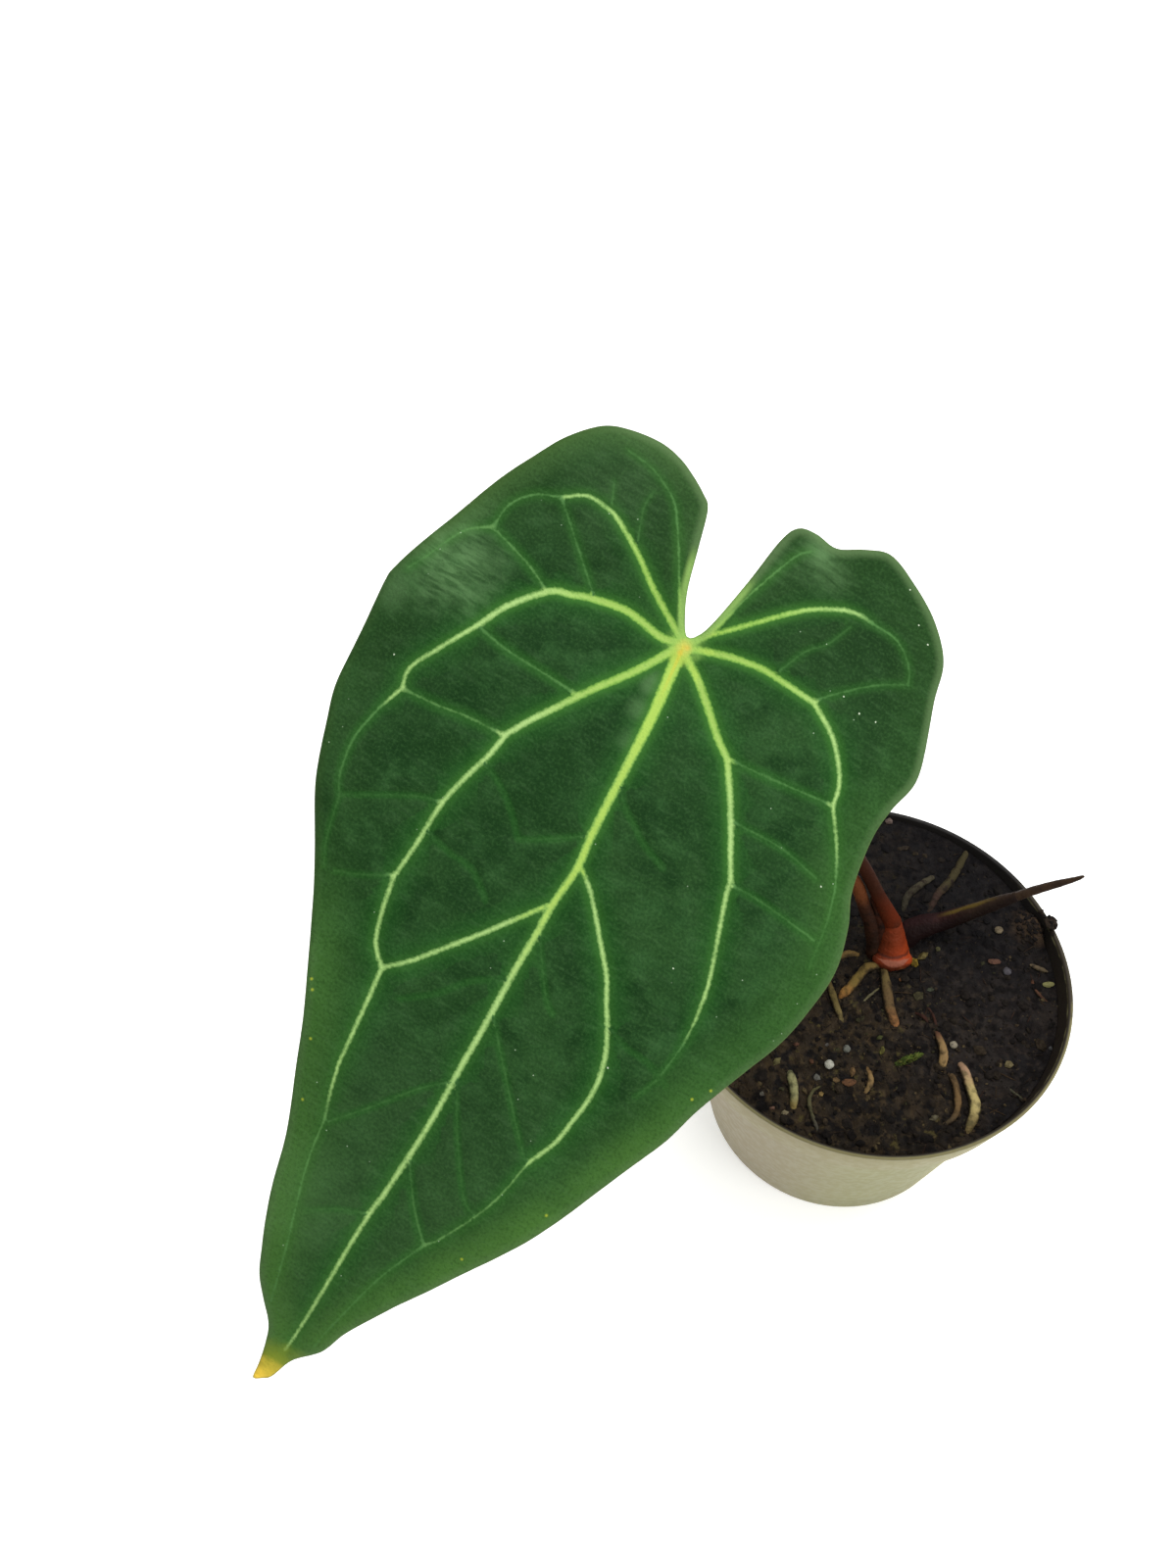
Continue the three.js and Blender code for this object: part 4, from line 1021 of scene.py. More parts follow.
# Paleness at the start and the end, the pale wedge where it leaves a vein at each end, path
FINE_VEINS = [
    (0.4, 0.2, 0, 0, [(-8, 12), (-11.2, 17.4), (-14.4, 22.3), (-18, 26.8), (-25, 30.5), (-32, 31.5)]),
    (0.35, 0.35, 0.2, 0.4, [(-39, 15), (-44.5, 12.5), (-48, 8), (-48.5, 2)]),
    (0.4, 0.25, 0.4, 0, [(-48.5, 2), (-53, -1.3), (-55.3, -5.5), (-57.2, -10.3), (-59.5, -15)]),
    (0.2, 0.12, 0, 0, [(-20, 15), (-22.5, 22), (-22.5, 26)]),
    (0.22, 0.1, 0, 0, [(-29, 19.5), (-31, 24)]),
    (0.35, 0.2, 0, 0, [(-49, -43.5), (-50.2, -51.5), (-48.8, -59.5), (-46.5, -63.5)]),
    (0.18, 0.12, 0, 0, [(-46.5, -63.5), (-44.5, -72.5), (-42, -78)]),
    (0.25, 0.25, 0, 0.4, [(-21.5, -0.5), (-30, 7), (-39, 15)]),
    (0.4, 0.35, 0.7, 0.4, [(-31, -4.5), (-37, -1.5), (-48.5, 2)]),
    (0.3, 0.35, 0.4, 0.6, [(-40, -18), (-32, -19.3), (-21, -19.7), (-14.5, -20)]),
    (0.4, 0.4, 0.6, 0.7, [(-47, -37.5), (-39, -36.8), (-32, -35.6), (-23.5, -35)]),
    (0.4, 0.25, 0, 0, [(-15, -123.6), (-13.4, -134.5), (-8.4, -152.5), (-5.5, -166)]),
    (0.15, 0.12, 0.6, 0, [(-27, -53.5), (-33, -55.4), (-46.5, -63)]),
    (0.12, 0.15, 0.6, 0, [(-27.9, -71.5), (-34, -75), (-39.5, -77.5)]),
    (0.15, 0.1, 0, 0, [(2, -44.5), (-3, -48), (-9.5, -52)]),
    (0.1, 0.08, 0, 0, [(3.5, -32), (6, -35), (10, -37.5), (14, -40), (19.5, -42)]),
    (0.08, 0.06, 0, 0, [(-24, -42), (-19, -44), (-14, -47.5), (-9.5, -52)]),
    (0.08, 0.06, 0, 0, [(-27.5, -60), (-21, -61.5), (-15, -62), (-9, -66)]),
    (0.08, 0.06, 0, 0, [(26, -76), (32, -78), (37, -78.5), (43, -81)]),
    (0.08, 0.06, 0, 0, [(3.5, -78), (-3, -82), (-8, -88), (-14, -93)]),
    (0.15, 0.2, 0.4, 0, [(4, -102.5), (-1, -107), (-8, -116), (-14, -123.5)]),
    (0.18, 0.1, 0.4, 0, [(3.2, -136.5), (-3, -139), (-9, -143)]),
    (0.45, 0.3, 0, 0, [(5.2, 11.7), (7.2, 19), (11, 29.5), (13.5, 32.5)]),
    (0.25, 0.1, 0, 0, [(54, -28.5), (55.5, -34), (56.3, -39), (57, -45)]),
    (0.35, 0.2, 0, 0, [(33, 25.7), (39.5, 25.2), (44.5, 21.7), (46.5, 18)]),
    (0.3, 0.2, 0.7, 0, [(30, 4), (32, 6.8), (39.5, 13.8), (46, 18)]),
    (0.2, 0.14, 0, 0, [(20.2, 6), (23, 12.5), (26.5, 16.6), (29, 22.5)]),
    (0.3, 0.3, 0.8, 0.6, [(19.8, -15.7), (30.5, -14.6), (39.5, -13.5), (44, -13)]),
    (0.22, 0.2, 0.5, 0, [(27, -26.5), (39, -26.2), (49, -28)]),
    (0.2, 0.25, 0.5, 0, [(33.5, -38), (41, -38), (51, -39), (55, -39.5)]),
    (0.3, 0.1, 0, 0, [(41.8, -72), (41.3, -77), (40.6, -81), (38.5, -86)]),
    (0.5, 0.4, 0, 0.4, [(26.4, -109.5), (24.1, -121), (19, -133), (16.5, -136.5)]),
    (0.3, 0.2, 0.3, 0, [(16.5, -136.5), (11.6, -149), (8.6, -162.5), (7.5, -170)]),
    (0.2, 0.15, 0, 0, [(4.5, -86), (12.5, -95), (21.5, -105), (26, -109.5)]),
    (0.2, 0.3, 0.4, 0.4, [(4.3, -121), (11, -130.5), (16.5, -136.5)]),
    (0.15, 0.12, 0, 0, [(4.5, -101), (11, -112), (18.5, -122.5), (22.5, -125)]),
    (0.15, 0.12, 0, 0, [(4.2, -66.5), (11.5, -76.5), (15, -79.5)]),
]
FINE_WIDTH = 0.45
WEDGE_LENGTH = 4
WEDGE_WIDTH = 0.8

# Grains of dust and yellow flecks, on the flat blade
DUST = [
    (36.5, 36.5), (42, 30.7), (45.8, 28), (35, 8.4), (39.6, 6.9), (43.7, 7.2), (50.7, -29),
    (31.8, -58.9), (-52.2, -32.3), (30.5, -83.6),
]
YELLOW_FLECKS = [
    (-32, -99), (-30.7, -100.8), (-25.9, -109.9), (-21.1, -122.6), (24.9, -135), (35.3, -117.1),
    (51.9, -77.4), (49.2, -80.7),
]
FLECK_RADIUS = 0.5


def smooth_line(points, step, closed=False):
    """Places about a step apart on a smooth line through the given points."""
    points = [np.array(point, float) for point in points]
    if closed:
        points = [points[-1], *points, points[0], points[1]]
    else:
        points = [2 * points[0] - points[1], *points, 2 * points[-1] - points[-2]]
    line = []
    for a, b, c, d in zip(points, points[1:], points[2:], points[3:]):
        pieces = max(1, round(float(np.linalg.norm(c - b)) / step))
        for t in np.arange(pieces) / pieces:
            bent = (2 * a - 5 * b + 4 * c - d) * t**2 + (3 * b - a - 3 * c + d) * t**3
            line.append((2 * b + (c - a) * t + bent) / 2)
    return np.array(line if closed else [*line, points[-2]])


def to_line(places, line):
    """How far each place is from a closed line."""
    nearest = np.full(len(places), np.inf)
    for start, end in zip(line, np.roll(line, -1, axis=0)):
        span = end - start
        share = np.clip(((places - start) @ span) / (span @ span), 0, 1)
        nearest = np.minimum(nearest, np.hypot(*(places - start - share[:, None] * span).T))
    return nearest


def within(places, line):
    """Which of the places are inside a closed line."""
    inside = np.zeros(len(places), bool)
    for (ax, ay), (bx, by) in zip(line, np.roll(line, -1, axis=0)):
        if ay != by:
            crosses = (ay > places[:, 1]) != (by > places[:, 1])
            inside ^= crosses & (places[:, 0] < (bx - ax) * (places[:, 1] - ay) / (by - ay) + ax)
    return inside


outline = smooth_line(LEAF_OUTLINE, 0.8, closed=True)

# Vein samples: x, y, half width, paleness, rib
samples = []
for wide, narrow, pale, dim, rib, low_rib, path in MAIN_VEINS:
    line = smooth_line(path, SAMPLE_STEP)
    for share, (x, y) in zip(np.linspace(0, 1, len(line)), line):
        half_width = (wide + (narrow - wide) * share) / 2
        samples.append((x, y, half_width, pale + (dim - pale) * share, rib + (low_rib - rib) * share))
for pale, dim, start_wedge, end_wedge, path in FINE_VEINS:
    line = smooth_line(path, SAMPLE_STEP)
    total = SAMPLE_STEP * len(line)
    for share, (x, y) in zip(np.linspace(0, 1, len(line)), line):
        wedge = start_wedge * math.exp(-((2 * share * total / WEDGE_LENGTH) ** 2))
        wedge = max(wedge, end_wedge * math.exp(-((2 * (1 - share) * total / WEDGE_LENGTH) ** 2)))
        faint = pale + (dim - pale) * share
        samples.append((x, y, (FINE_WIDTH + WEDGE_WIDTH * wedge) / 2, max(faint, wedge), 0.25 * faint))
samples = np.array(samples)

# The flat net: the outline first, then the veins' middles and edges, flecks and a fill
candidates = [(outline, 0.0)]
veins = [(wide / 2, narrow / 2, path) for wide, narrow, *_, path in MAIN_VEINS]
veins += [(FINE_WIDTH / 2, FINE_WIDTH / 2, path) for *_, path in FINE_VEINS]
for half_start, half_end, path in veins:
    line = smooth_line(path, 0.85)
    ahead = np.gradient(line, axis=0)
    side = np.stack([-ahead[:, 1], ahead[:, 0]], axis=1) / np.hypot(*ahead.T)[:, None]
    half = np.linspace(half_start, half_end, len(line))[:, None]
    candidates.append((line, 0.3))
    for offset in (half, -half, half + NET_CLEARANCE, -half - NET_CLEARANCE):
        candidates.append((line + side * offset, 0.3))
for x, y in DUST + YELLOW_FLECKS:
    ring = [(x + FLECK_RADIUS * math.cos(turn), y + FLECK_RADIUS * math.sin(turn))
            for turn in np.arange(6) * math.pi / 3]
    candidates.insert(1, (np.array([(x, y), *ring]), 0.1))
fill = [((i + (j % 2) / 2) * NET_STEP, j * NET_STEP * math.sqrt(0.75))
        for j in range(-210, 50) for i in range(-62, 63)]
candidates.append((np.array(fill), 0.62 * NET_STEP))

net = []
cells = {}
for places, clear in candidates:
    if clear:
        places = places[within(places, outline)]
        places = places[to_line(places, outline) > NET_CLEARANCE]
    for x, y in places:
        column, row = math.floor(x / NET_CELL), math.floor(y / NET_CELL)
        near = [p for i in (-1, 0, 1) for j in (-1, 0, 1) for p in cells.get((column + i, row + j), ())]
        if all((x - px) ** 2 + (y - py) ** 2 > clear**2 for px, py in near):
            net.append(Vector((x, y)))
            cells.setdefault((column, row), []).append((x, y))
edge_count = len(outline)
loop = [(i, (i + 1) % edge_count) for i in range(edge_count)]
net, _, faces, *_ = delaunay_2d_cdt(net, loop, [], 1, 1e-5)
flat = np.array([tuple(point) for point in net])

tree_of_samples = KDTree(len(samples))
for i, (x, y, *_) in enumerate(samples):
    tree_of_samples.insert((x, y, 0), i)
tree_of_samples.balance()
vein_gap, vein_pale, ribs, main_gap = np.zeros((4, len(flat)))
for i, (x, y) in enumerate(flat):
    nearest = tree_of_samples.find_n((x, y, 0), NEAREST_SAMPLES)
    found = [(away - samples[k][2], k, away) for _, k, away in nearest]
    vein_gap[i], vein_pale[i] = min(found)[0], samples[min(found)[1]][3]
    ribs[i] = max(samples[k][4] * math.exp(-(away / (0.7 + samples[k][2])) ** 2) for _, k, away in found)
    main_gap[i] = min(max(gap, 0) / max(0.15, samples[k][3]) for gap, k, _ in found)
margin_gap = to_line(flat, outline)
x, y = flat.T
along = -y / LEAF_LENGTH
surface = 4 * LEAF_ARCH * along * (1 - along) - LEAF_DROOP * (x / LEAF_HALF_WIDTH) ** 2
surface += LEAF_TWIST * x * along
surface -= FUNNEL_DEPTH * np.exp(-(x**2 + y**2) / (2 * FUNNEL_RADIUS**2))
waves = np.sin(2 * math.pi * (y + 0.3 * x) / WAVE_LENGTH)
surface += WAVE_HEIGHT * waves * np.exp(-margin_gap / WAVE_REACH)
quilt = QUILT_HEIGHT * (1 - np.exp(-main_gap / QUILT_WIDTH)) * (1 - np.exp(-margin_gap / 5))
puckers = np.array([noise.fractal(Vector((*point / PUCKER_SIZE, 4)), 0.7, 2, 3) for point in flat])
groove = VEIN_GROOVE * vein_pale * np.exp(-np.maximum(vein_gap + 0.2, 0) ** 2 / 0.8)
upper = surface + quilt + PUCKER_HEIGHT * puckers - groove
hub = HUB_HEIGHT * np.exp(-(x**2 + y**2) / (2 * HUB_RADIUS**2))
inward = 1 - np.exp(-margin_gap / EDGE_TAPER)
thickness = MARGIN_THICKNESS + (LEAF_THICKNESS - MARGIN_THICKNESS) * inward
upper -= EDGE_DROP * np.exp(-margin_gap / EDGE_DROP_WIDTH)
lower = upper - thickness - ribs - hub

ahead = (LEAF_JOINT - LEAF_TIP).normalized()
across = ahead.cross(LEAF_FACING).normalized()
above = across.cross(ahead)


def place_leaf(heights):
    """Points of the flat net, raised to their heights and set in the plant."""
    points = np.outer(x, across) + np.outer(y, ahead) + np.outer(heights, above) + np.array(LEAF_JOINT)
    return points * MM


count = len(flat)
corners = [tuple(point) for point in np.concatenate([place_leaf(upper), place_leaf(lower)])]
below = [tuple(corner + count for corner in reversed(face)) for face in faces]
edges = {(face[i], face[(i + 1) % 3]) for face in faces for i in range(3)}
open_edges = [(start, end) for start, end in edges if (end, start) not in edges]
rim = [(start, start + count, end + count, end) for start, end in open_edges]
mesh = bpy.data.meshes.new("leaf_blade_skin")
mesh.from_pydata(corners, [], [tuple(face) for face in faces] + below + rim)
blade = bpy.data.objects.new("leaf_blade_skin", mesh)
bpy.context.collection.objects.link(blade)
dust, yellow = np.zeros((2, count))
for flecks, marks in ((DUST, dust), (YELLOW_FLECKS, yellow)):
    for fx, fy in flecks:
        marks[np.hypot(x - fx, y - fy) < 0.15] = 1
for name, values in {"vein_gap": vein_gap, "vein_pale": vein_pale, "panel": main_gap,
                     "margin_gap": margin_gap, "dust": dust, "yellow": yellow}.items():
    mesh.attributes.new(name, "FLOAT", "POINT").data.foreach_set("value", np.tile(values, 2))
leaf_place = np.stack([x, y, 0 * x], axis=1) * MM
drawn_on = mesh.attributes.new("leaf_place", "FLOAT_VECTOR", "POINT")
drawn_on.data.foreach_set("vector", np.tile(leaf_place, (2, 1)).ravel())
for face in mesh.polygons:
    face.use_smooth = True
    face.material_index = 0 if face.index < len(faces) else 1


def attribute_of(tree, name, output="Fac"):
    """A value kept at the mesh's points."""
    made = tree.nodes.new("ShaderNodeAttribute")
    made.attribute_name = name
    return made.outputs[output]


# Where a leaf's veins, their halo and its margin run, with slightly ragged edges
leaf_marks, given, out = new_group(
    "leaf_marks",
    {"Place": (VECTOR, None), "Vein Gap": (FLOAT, 1), "Vein Pale": (FLOAT, 1), "Margin Gap": (FLOAT, 1)},
    {"Vein": FLOAT, "Pale": FLOAT, "Core": FLOAT, "Halo": FLOAT, "Margin": FLOAT, "Near Joint": FLOAT,
     "Tip": FLOAT, "Green Tip": FLOAT})
ragged = minus(leaf_marks, noise_of(leaf_marks, given["Place"], 1300, 3), 0.5)
gap = plus(leaf_marks, given["Vein Gap"], times(leaf_marks, ragged, 0.7))
vein = spread(leaf_marks, gap, 0.26, -0.26)
plug(leaf_marks, out["Vein"], times(leaf_marks, vein, spread(leaf_marks, given["Vein Pale"], 0, 0.45)))
plug(leaf_marks, out["Pale"], spread(leaf_marks, given["Vein Pale"], 0.3, 0.75))
plug(leaf_marks, out["Core"], spread(leaf_marks, gap, -0.05, -0.6))
halo = times(leaf_marks, spread(leaf_marks, given["Vein Gap"], 2.2, -0.4), given["Vein Pale"])
wander = times(leaf_marks, noise_of(leaf_marks, given["Place"], 300, 3), 0.7)
edge = plus(leaf_marks, given["Margin Gap"], wander)
plug(leaf_marks, out["Margin"], spread(leaf_marks, edge, 0.75, 0.35))
near_joint = spread(leaf_marks, vector_sum(leaf_marks, "LENGTH", given["Place"]), 0.1, 0.008)
plug(leaf_marks, out["Near Joint"], near_joint)
plug(leaf_marks, out["Halo"], times(leaf_marks, halo, spread(leaf_marks, near_joint, 0, 1, 0.5, 0.95)))
wander = times(leaf_marks, noise_of(leaf_marks, given["Place"], 160, 4), 0.009)
down = plus(leaf_marks, axis_of(leaf_marks, given["Place"], 1), wander)
plug(leaf_marks, out["Green Tip"], spread(leaf_marks, down, -0.1675, -0.1745))
plug(leaf_marks, out["Tip"], spread(leaf_marks, down, -0.1735, -0.1795))


def leaf_marks_of(tree):
    """The leaf's marks, as the outputs of one node, and the flat place they are drawn on."""
    place = attribute_of(tree, "leaf_place", "Vector")
    made = tree.nodes.new("ShaderNodeGroup")
    made.node_tree = leaf_marks
    plug(tree, made.inputs["Place"], place)
    for socket, name in (("Vein Gap", "vein_gap"), ("Vein Pale", "vein_pale"),
                         ("Margin Gap", "margin_gap")):
        plug(tree, made.inputs[socket], attribute_of(tree, name))
    return made.outputs, place


# Spots on the flat blade: middle, reach, strength and tint
DEEP_SPOTS = [
    ((-24, -44), 30, 0.45, (20, 50, 18)), ((-52, -36), 21, 0.6, (26, 50, 23)),
    ((-51, -58), 20, 0.45, (26, 50, 23)), ((-8, 12), 13, 0.45, (18, 48, 17)),
    ((28, -30), 18, 0.45, (18, 48, 17)), ((-4, -110), 24, 0.4, (30, 54, 28)),
    ((-2, -70), 26, 0.3, (24, 54, 22)), ((-13, -34), 16, 0.3, (22, 52, 20)),
    ((22, -108), 18, 0.3, (24, 54, 22)),
]
JOINT_SPOTS = [
    ((0.3, 0.5), 5.4, 0.85, (132, 170, 80)), ((0.3, -2), 3, 0.5, (160, 172, 60)),
    ((0.2, 0.2), 2.6, 0.85, (186, 180, 82)), ((0, -1.2), 1, 0.5, (190, 150, 54)),
    ((0.8, 0.4), 0.9, 0.45, (194, 156, 58)),
]

# The painted sheen's patches: middle, reach, strength and how much of it lies between the streaks
SHEEN_PATCHES = [
    ((-50, -10), 14, 0.5, 0.35), ((-57, -3), 12, 0.22, 0.6), ((-60, -19), 9, 0.3, 1),
    ((-30, 24), 16, 0.12, 0.6), ((15, 33.5), 6, 0.6, 0.7), ((21, 31), 7, 0.22, 0.4),
    ((10, 27), 8, 0.14, 0.3), ((-1.5, -10), 4, 0.4, 1), ((-1.2, -16), 3.5, 0.3, 1),
    ((0, -23), 4, 0.25, 1), ((-12, -140), 20, 0.1, 1),
]


def leaf_spot(tree, place, middle, reach, ragged, per_metre):
    """A mask of one soft spot on the flat blade, its middle and reach in millimetres."""
    middle = (middle[0] * MM, middle[1] * MM, 0)
    return spot_at(tree, place, middle, reach * MM, Soft=0.95, Ragged=ragged, Per_Metre=per_metre)


velvet, shader = shader_of("leaf_velvet", Specular_IOR_Level=0.05)
tree = velvet.node_tree
marks, place = leaf_marks_of(tree)
margin_far = attribute_of(tree, "margin_gap")
panel = attribute_of(tree, "panel")

# Nap: the velvet's fine streaks, which run across the blade
nap = tree.nodes.new("ShaderNodeMapping")
nap.inputs["Scale"].default_value = (190, 800, 1)
nap.inputs["Rotation"].default_value = (0, 0, 0.16)
plug(tree, nap.inputs["Vector"], place)
streaks = noise_of(tree, nap.outputs["Vector"], 1, 4, 0.4)

paint = coat(tree, colour(22, 51, 20), (34, 65, 29),
             patches(tree, place, 48, Detail=5, Low=0.38, High=0.64))
paint = coat(tree, paint, (39, 73, 35), patches(tree, place, 170, Detail=5, Low=0.42, High=0.75))
paint = coat(tree, paint, (19, 48, 18), patches(tree, place, 110, Detail=5, Low=0.5, High=0.32))
for middle, reach, strength, tint in DEEP_SPOTS:
    paint = coat(tree, paint, tint, leaf_spot(tree, place, middle, reach, 1, 60), strength)
cross_leaf, down_leaf = axis_of(tree, place, 0), axis_of(tree, place, 1)
# Painted shade darkens the lobes, and painted light brightens the lower blade.
lobes = spread(tree, down_leaf, -0.012, 0.022)
paint = coat(tree, paint, (23, 47, 19), lobes, 0.62)
paint = coat(tree, paint, (50, 80, 42), spread(tree, down_leaf, -0.08, -0.13), 0.35)
near_vein = times(tree, spread(tree, panel, 6.5, 0.5), minus(tree, 0.5, times(tree, lobes, 0.25)))
paint = coat(tree, paint, (29, 76, 25), near_vein)

# Towards its margin the blade is thinner, and painted light makes its green lighter there: most so low
# down and at the right
right_half = spread(tree, cross_leaf, -0.01, 0.025)
low_half = spread(tree, down_leaf, -0.06, -0.1)
blotches = patches(tree, place, 34, Detail=4, Low=0.25, High=0.55)
right_half = times(tree, right_half, spread(tree, down_leaf, 0.01, -0.03, 0.25, 1))
lit_margin = sum_of(tree, "MAXIMUM", sum_of(tree, "MAXIMUM", low_half, right_half), 0.22)
lit_margin = times(tree, spread(tree, margin_far, 16, 1), lit_margin)
paint = coat(tree, paint, (45, 80, 32), times(tree, lit_margin, spread(tree, blotches, 0, 1, 0.45, 0.9)))
lit_low_margin = times(tree, spread(tree, margin_far, 9.5, 1.5), spread(tree, down_leaf, -0.072, -0.1))
lit_low_margin = times(tree, lit_low_margin, spread(tree, cross_leaf, -0.03, 0.01, 0.3, 0.9))
paint = coat(tree, paint, (63, 100, 41), times(tree, lit_low_margin, spread(tree, blotches, 0, 1, 0.42, 0.9)))
# A painted highlight along the upper-left margin.
top_left_highlight = spot_at(tree, place, (-0.046, 0.022, 0), 0.044, Soft=0.5, Ragged=0.5, Per_Metre=80)
paint = coat(tree, paint, (56, 86, 42), times(tree, top_left_highlight, spread(tree, margin_far, 7.5, 1.5)), 0.62)
paint = coat(tree, paint, (84, 118, 76), spread(tree, streaks, 0.48, 0.74), 0.09)
paint = coat(tree, paint, (12, 36, 12), spread(tree, streaks, 0.48, 0.3), 0.12)
for low, high, strength, tone in ((0.5, 0.66, 0.13, (68, 106, 56)), (0.5, 0.34, 0.25, (12, 36, 12))):
    speckle = patches(tree, place, 1500, Detail=2, Low=low, High=high)
    paint = coat(tree, paint, tone, speckle, strength)

# Painted sheen: soft grey-green patches, strongest on the left lobe where it is streaked
for middle, reach, strength, plain in SHEEN_PATCHES:
    patch = times(tree, leaf_spot(tree, place, middle, reach, 1, 130),
                  spread(tree, streaks, 0.36, 0.62, plain, 1))
    paint = coat(tree, paint, (93, 128, 81), patch, strength)

# A painted highlight along the margin, greyer on the left lobe.
edge_highlight = times(tree, spread(tree, margin_far, 2.6, 0.4),
                    spread(tree, marks["Near Joint"], 0.975, 0.93))
edge_highlight = times(tree, edge_highlight, spread(tree, down_leaf, -0.02, 0.002, 0.25, 0.62))
edge_highlight_paint = coat(tree, colour(56, 84, 38), (86, 112, 70), spread(tree, cross_leaf, -0.046, -0.026))
paint = layer(tree, edge_highlight, paint, edge_highlight_paint)
paint = coat(tree, paint, (52, 100, 36), marks["Halo"], 0.85)
on_midrib = times(tree, spread(tree, cross_leaf, -0.003, -0.0005),
                  spread(tree, cross_leaf, 0.0075, 0.0055))
on_midrib = times(tree, on_midrib, spread(tree, down_leaf, -0.085, -0.05, 0, 0.7))
yellower = sum_of(tree, "MAXIMUM", on_midrib, spread(tree, marks["Near Joint"], 0.75, 0.99))
vein_paint = coat(tree, colour(116, 152, 84), (110, 152, 62), yellower)
core_paint = coat(tree, colour(150, 182, 110), (138, 170, 80), yellower)
core_paint = coat(tree, core_paint, (152, 182, 76), on_midrib)
vein_paint = layer(tree, marks["Core"], vein_paint, core_paint)
rough_vein = patches(tree, place, 900, Detail=3, Low=0.55, High=0.75)
vein_paint = coat(tree, vein_paint, (106, 146, 70), rough_vein, 0.3)
paint = layer(tree, marks["Vein"], paint, layer(tree, marks["Pale"], colour(70, 112, 58), vein_paint))
sinus = times(tree, spread(tree, margin_far, 2.1, 0.8), spread(tree, marks["Near Joint"], 0.93, 0.975))
paint = coat(tree, paint, (120, 154, 80), sinus, 0.85)
for middle, reach, strength, tint in JOINT_SPOTS:
    paint = coat(tree, paint, tint, leaf_spot(tree, place, middle, reach, 0.5, 600), strength)
off_line = sum_of(tree, "ABSOLUTE", plus(tree, cross_leaf, times(tree, down_leaf, 0.1)))
gold_line = times(tree, spread(tree, off_line, 0.0006, 0.0001), spread(tree, down_leaf, -0.015, -0.002))
gold_line = times(tree, gold_line, spread(tree, down_leaf, 0.0012, -0.0002))
paint = coat(tree, paint, (184, 172, 58), gold_line, 0.55)
paint = coat(tree, paint, (108, 122, 38), marks["Green Tip"])
paint = coat(tree, paint, (224, 188, 66), marks["Tip"])
paint = coat(tree, paint, (84, 104, 58), marks["Margin"], 0.5)
paint = coat(tree, paint, (150, 160, 46), attribute_of(tree, "yellow"))
frayed = times(tree, minus(tree, noise_of(tree, place, 2600, 2), 0.5), 1.1)
dusty = spread(tree, plus(tree, attribute_of(tree, "dust"), frayed), 0.5, 0.75)
paint = coat(tree, paint, (182, 194, 168), dusty)

# Lint: a few tiny pale dots
lint = tree.nodes.new("ShaderNodeTexVoronoi")
lint.voronoi_dimensions = "2D"
plug(tree, lint.inputs["Vector"], place)
plug(tree, lint.inputs["Scale"], 150)
chosen = sum_of(tree, "GREATER_THAN", axis_of(tree, lint.outputs["Color"], 0), 0.62)
dots = times(tree, spread(tree, lint.outputs["Distance"], 0.03, 0.005), chosen)
dots = times(tree, dots, patches(tree, place, 45, Detail=2, Low=0.52, High=0.6))
paint = coat(tree, paint, (160, 178, 150), dots, 0.8)
tree.links.new(spread(tree, marks["Vein"], 0, 1, 0.66, 0.5), shader.inputs["Roughness"])
finish(tree, shader, paint, place, Per_Metre=1700, Detail=4, Height=0.0002)

underside, shader = shader_of("leaf_underside", Roughness=0.65, Specular_IOR_Level=0.3)
tree = underside.node_tree
marks, place = leaf_marks_of(tree)
paint = coat(tree, colour(84, 118, 66), (98, 132, 76),
             patches(tree, place, 60, Detail=5, Low=0.35, High=0.65))
paint = coat(tree, paint, (150, 172, 96), marks["Vein"])
paint = coat(tree, paint, (196, 164, 60), marks["Tip"])
paint = coat(tree, paint, (132, 140, 92), marks["Margin"])
finish(tree, shader, paint, place, Per_Metre=900, Detail=5, Height=0.0003)
blade.data.materials.append(velvet)
blade.data.materials.append(underside)
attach(blade, "root")
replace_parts(blade, "leaf_blade")

# Leaf stalk
# The firm smooth stalk that grows out of the crown and carries the blade: red-brown at its foot
# and olive above, thickened where it bends under the blade's joint.
HUB_CLEARANCE = 0.35
RIB_AT_JOINT = 1.6
under_joint = LEAF_THICKNESS + RIB_AT_JOINT + HUB_HEIGHT + FUNNEL_DEPTH + HUB_CLEARANCE
stalk_end = LEAF_JOINT - above * under_joint
stalk_before = LEAF_JOINT - above * (under_joint + 4) + (across + ahead) * 0.4
stalk = grow_stalk("leaf_stalk_skin", [*STEM_PATH[4:], (*stalk_before, 2.8), (*stalk_end, 2.5)],
                   steps=16)
roughen(0.12, 2.5)
olive, shader, tree, place = new_finish("stalk_olive", Roughness=0.6, Specular_IOR_Level=0.03)
height = axis_of(tree, place, 2)
# Painted shade darkens the stalk above its red-brown foot, below the olive.
paint = coat(tree, colour(82, 32, 15), (46, 23, 14), spread(tree, height, 0.095, 0.112))
paint = coat(tree, paint, (84, 88, 44), spread(tree, height, 0.126, 0.168))
paint = coat(tree, paint, (54, 29, 18), patches(tree, place, 220, Detail=5, Low=0.45, High=0.7), 0.5)
paint = coat(tree, paint, (118, 124, 62), spread(tree, height, 0.218, 0.226))
finish(tree, shader, paint, place, Per_Metre=1200, Detail=4, Height=0.0002)
stalk.data.materials.append(olive)
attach(stalk, "root")
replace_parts(stalk, "leaf_stalk")

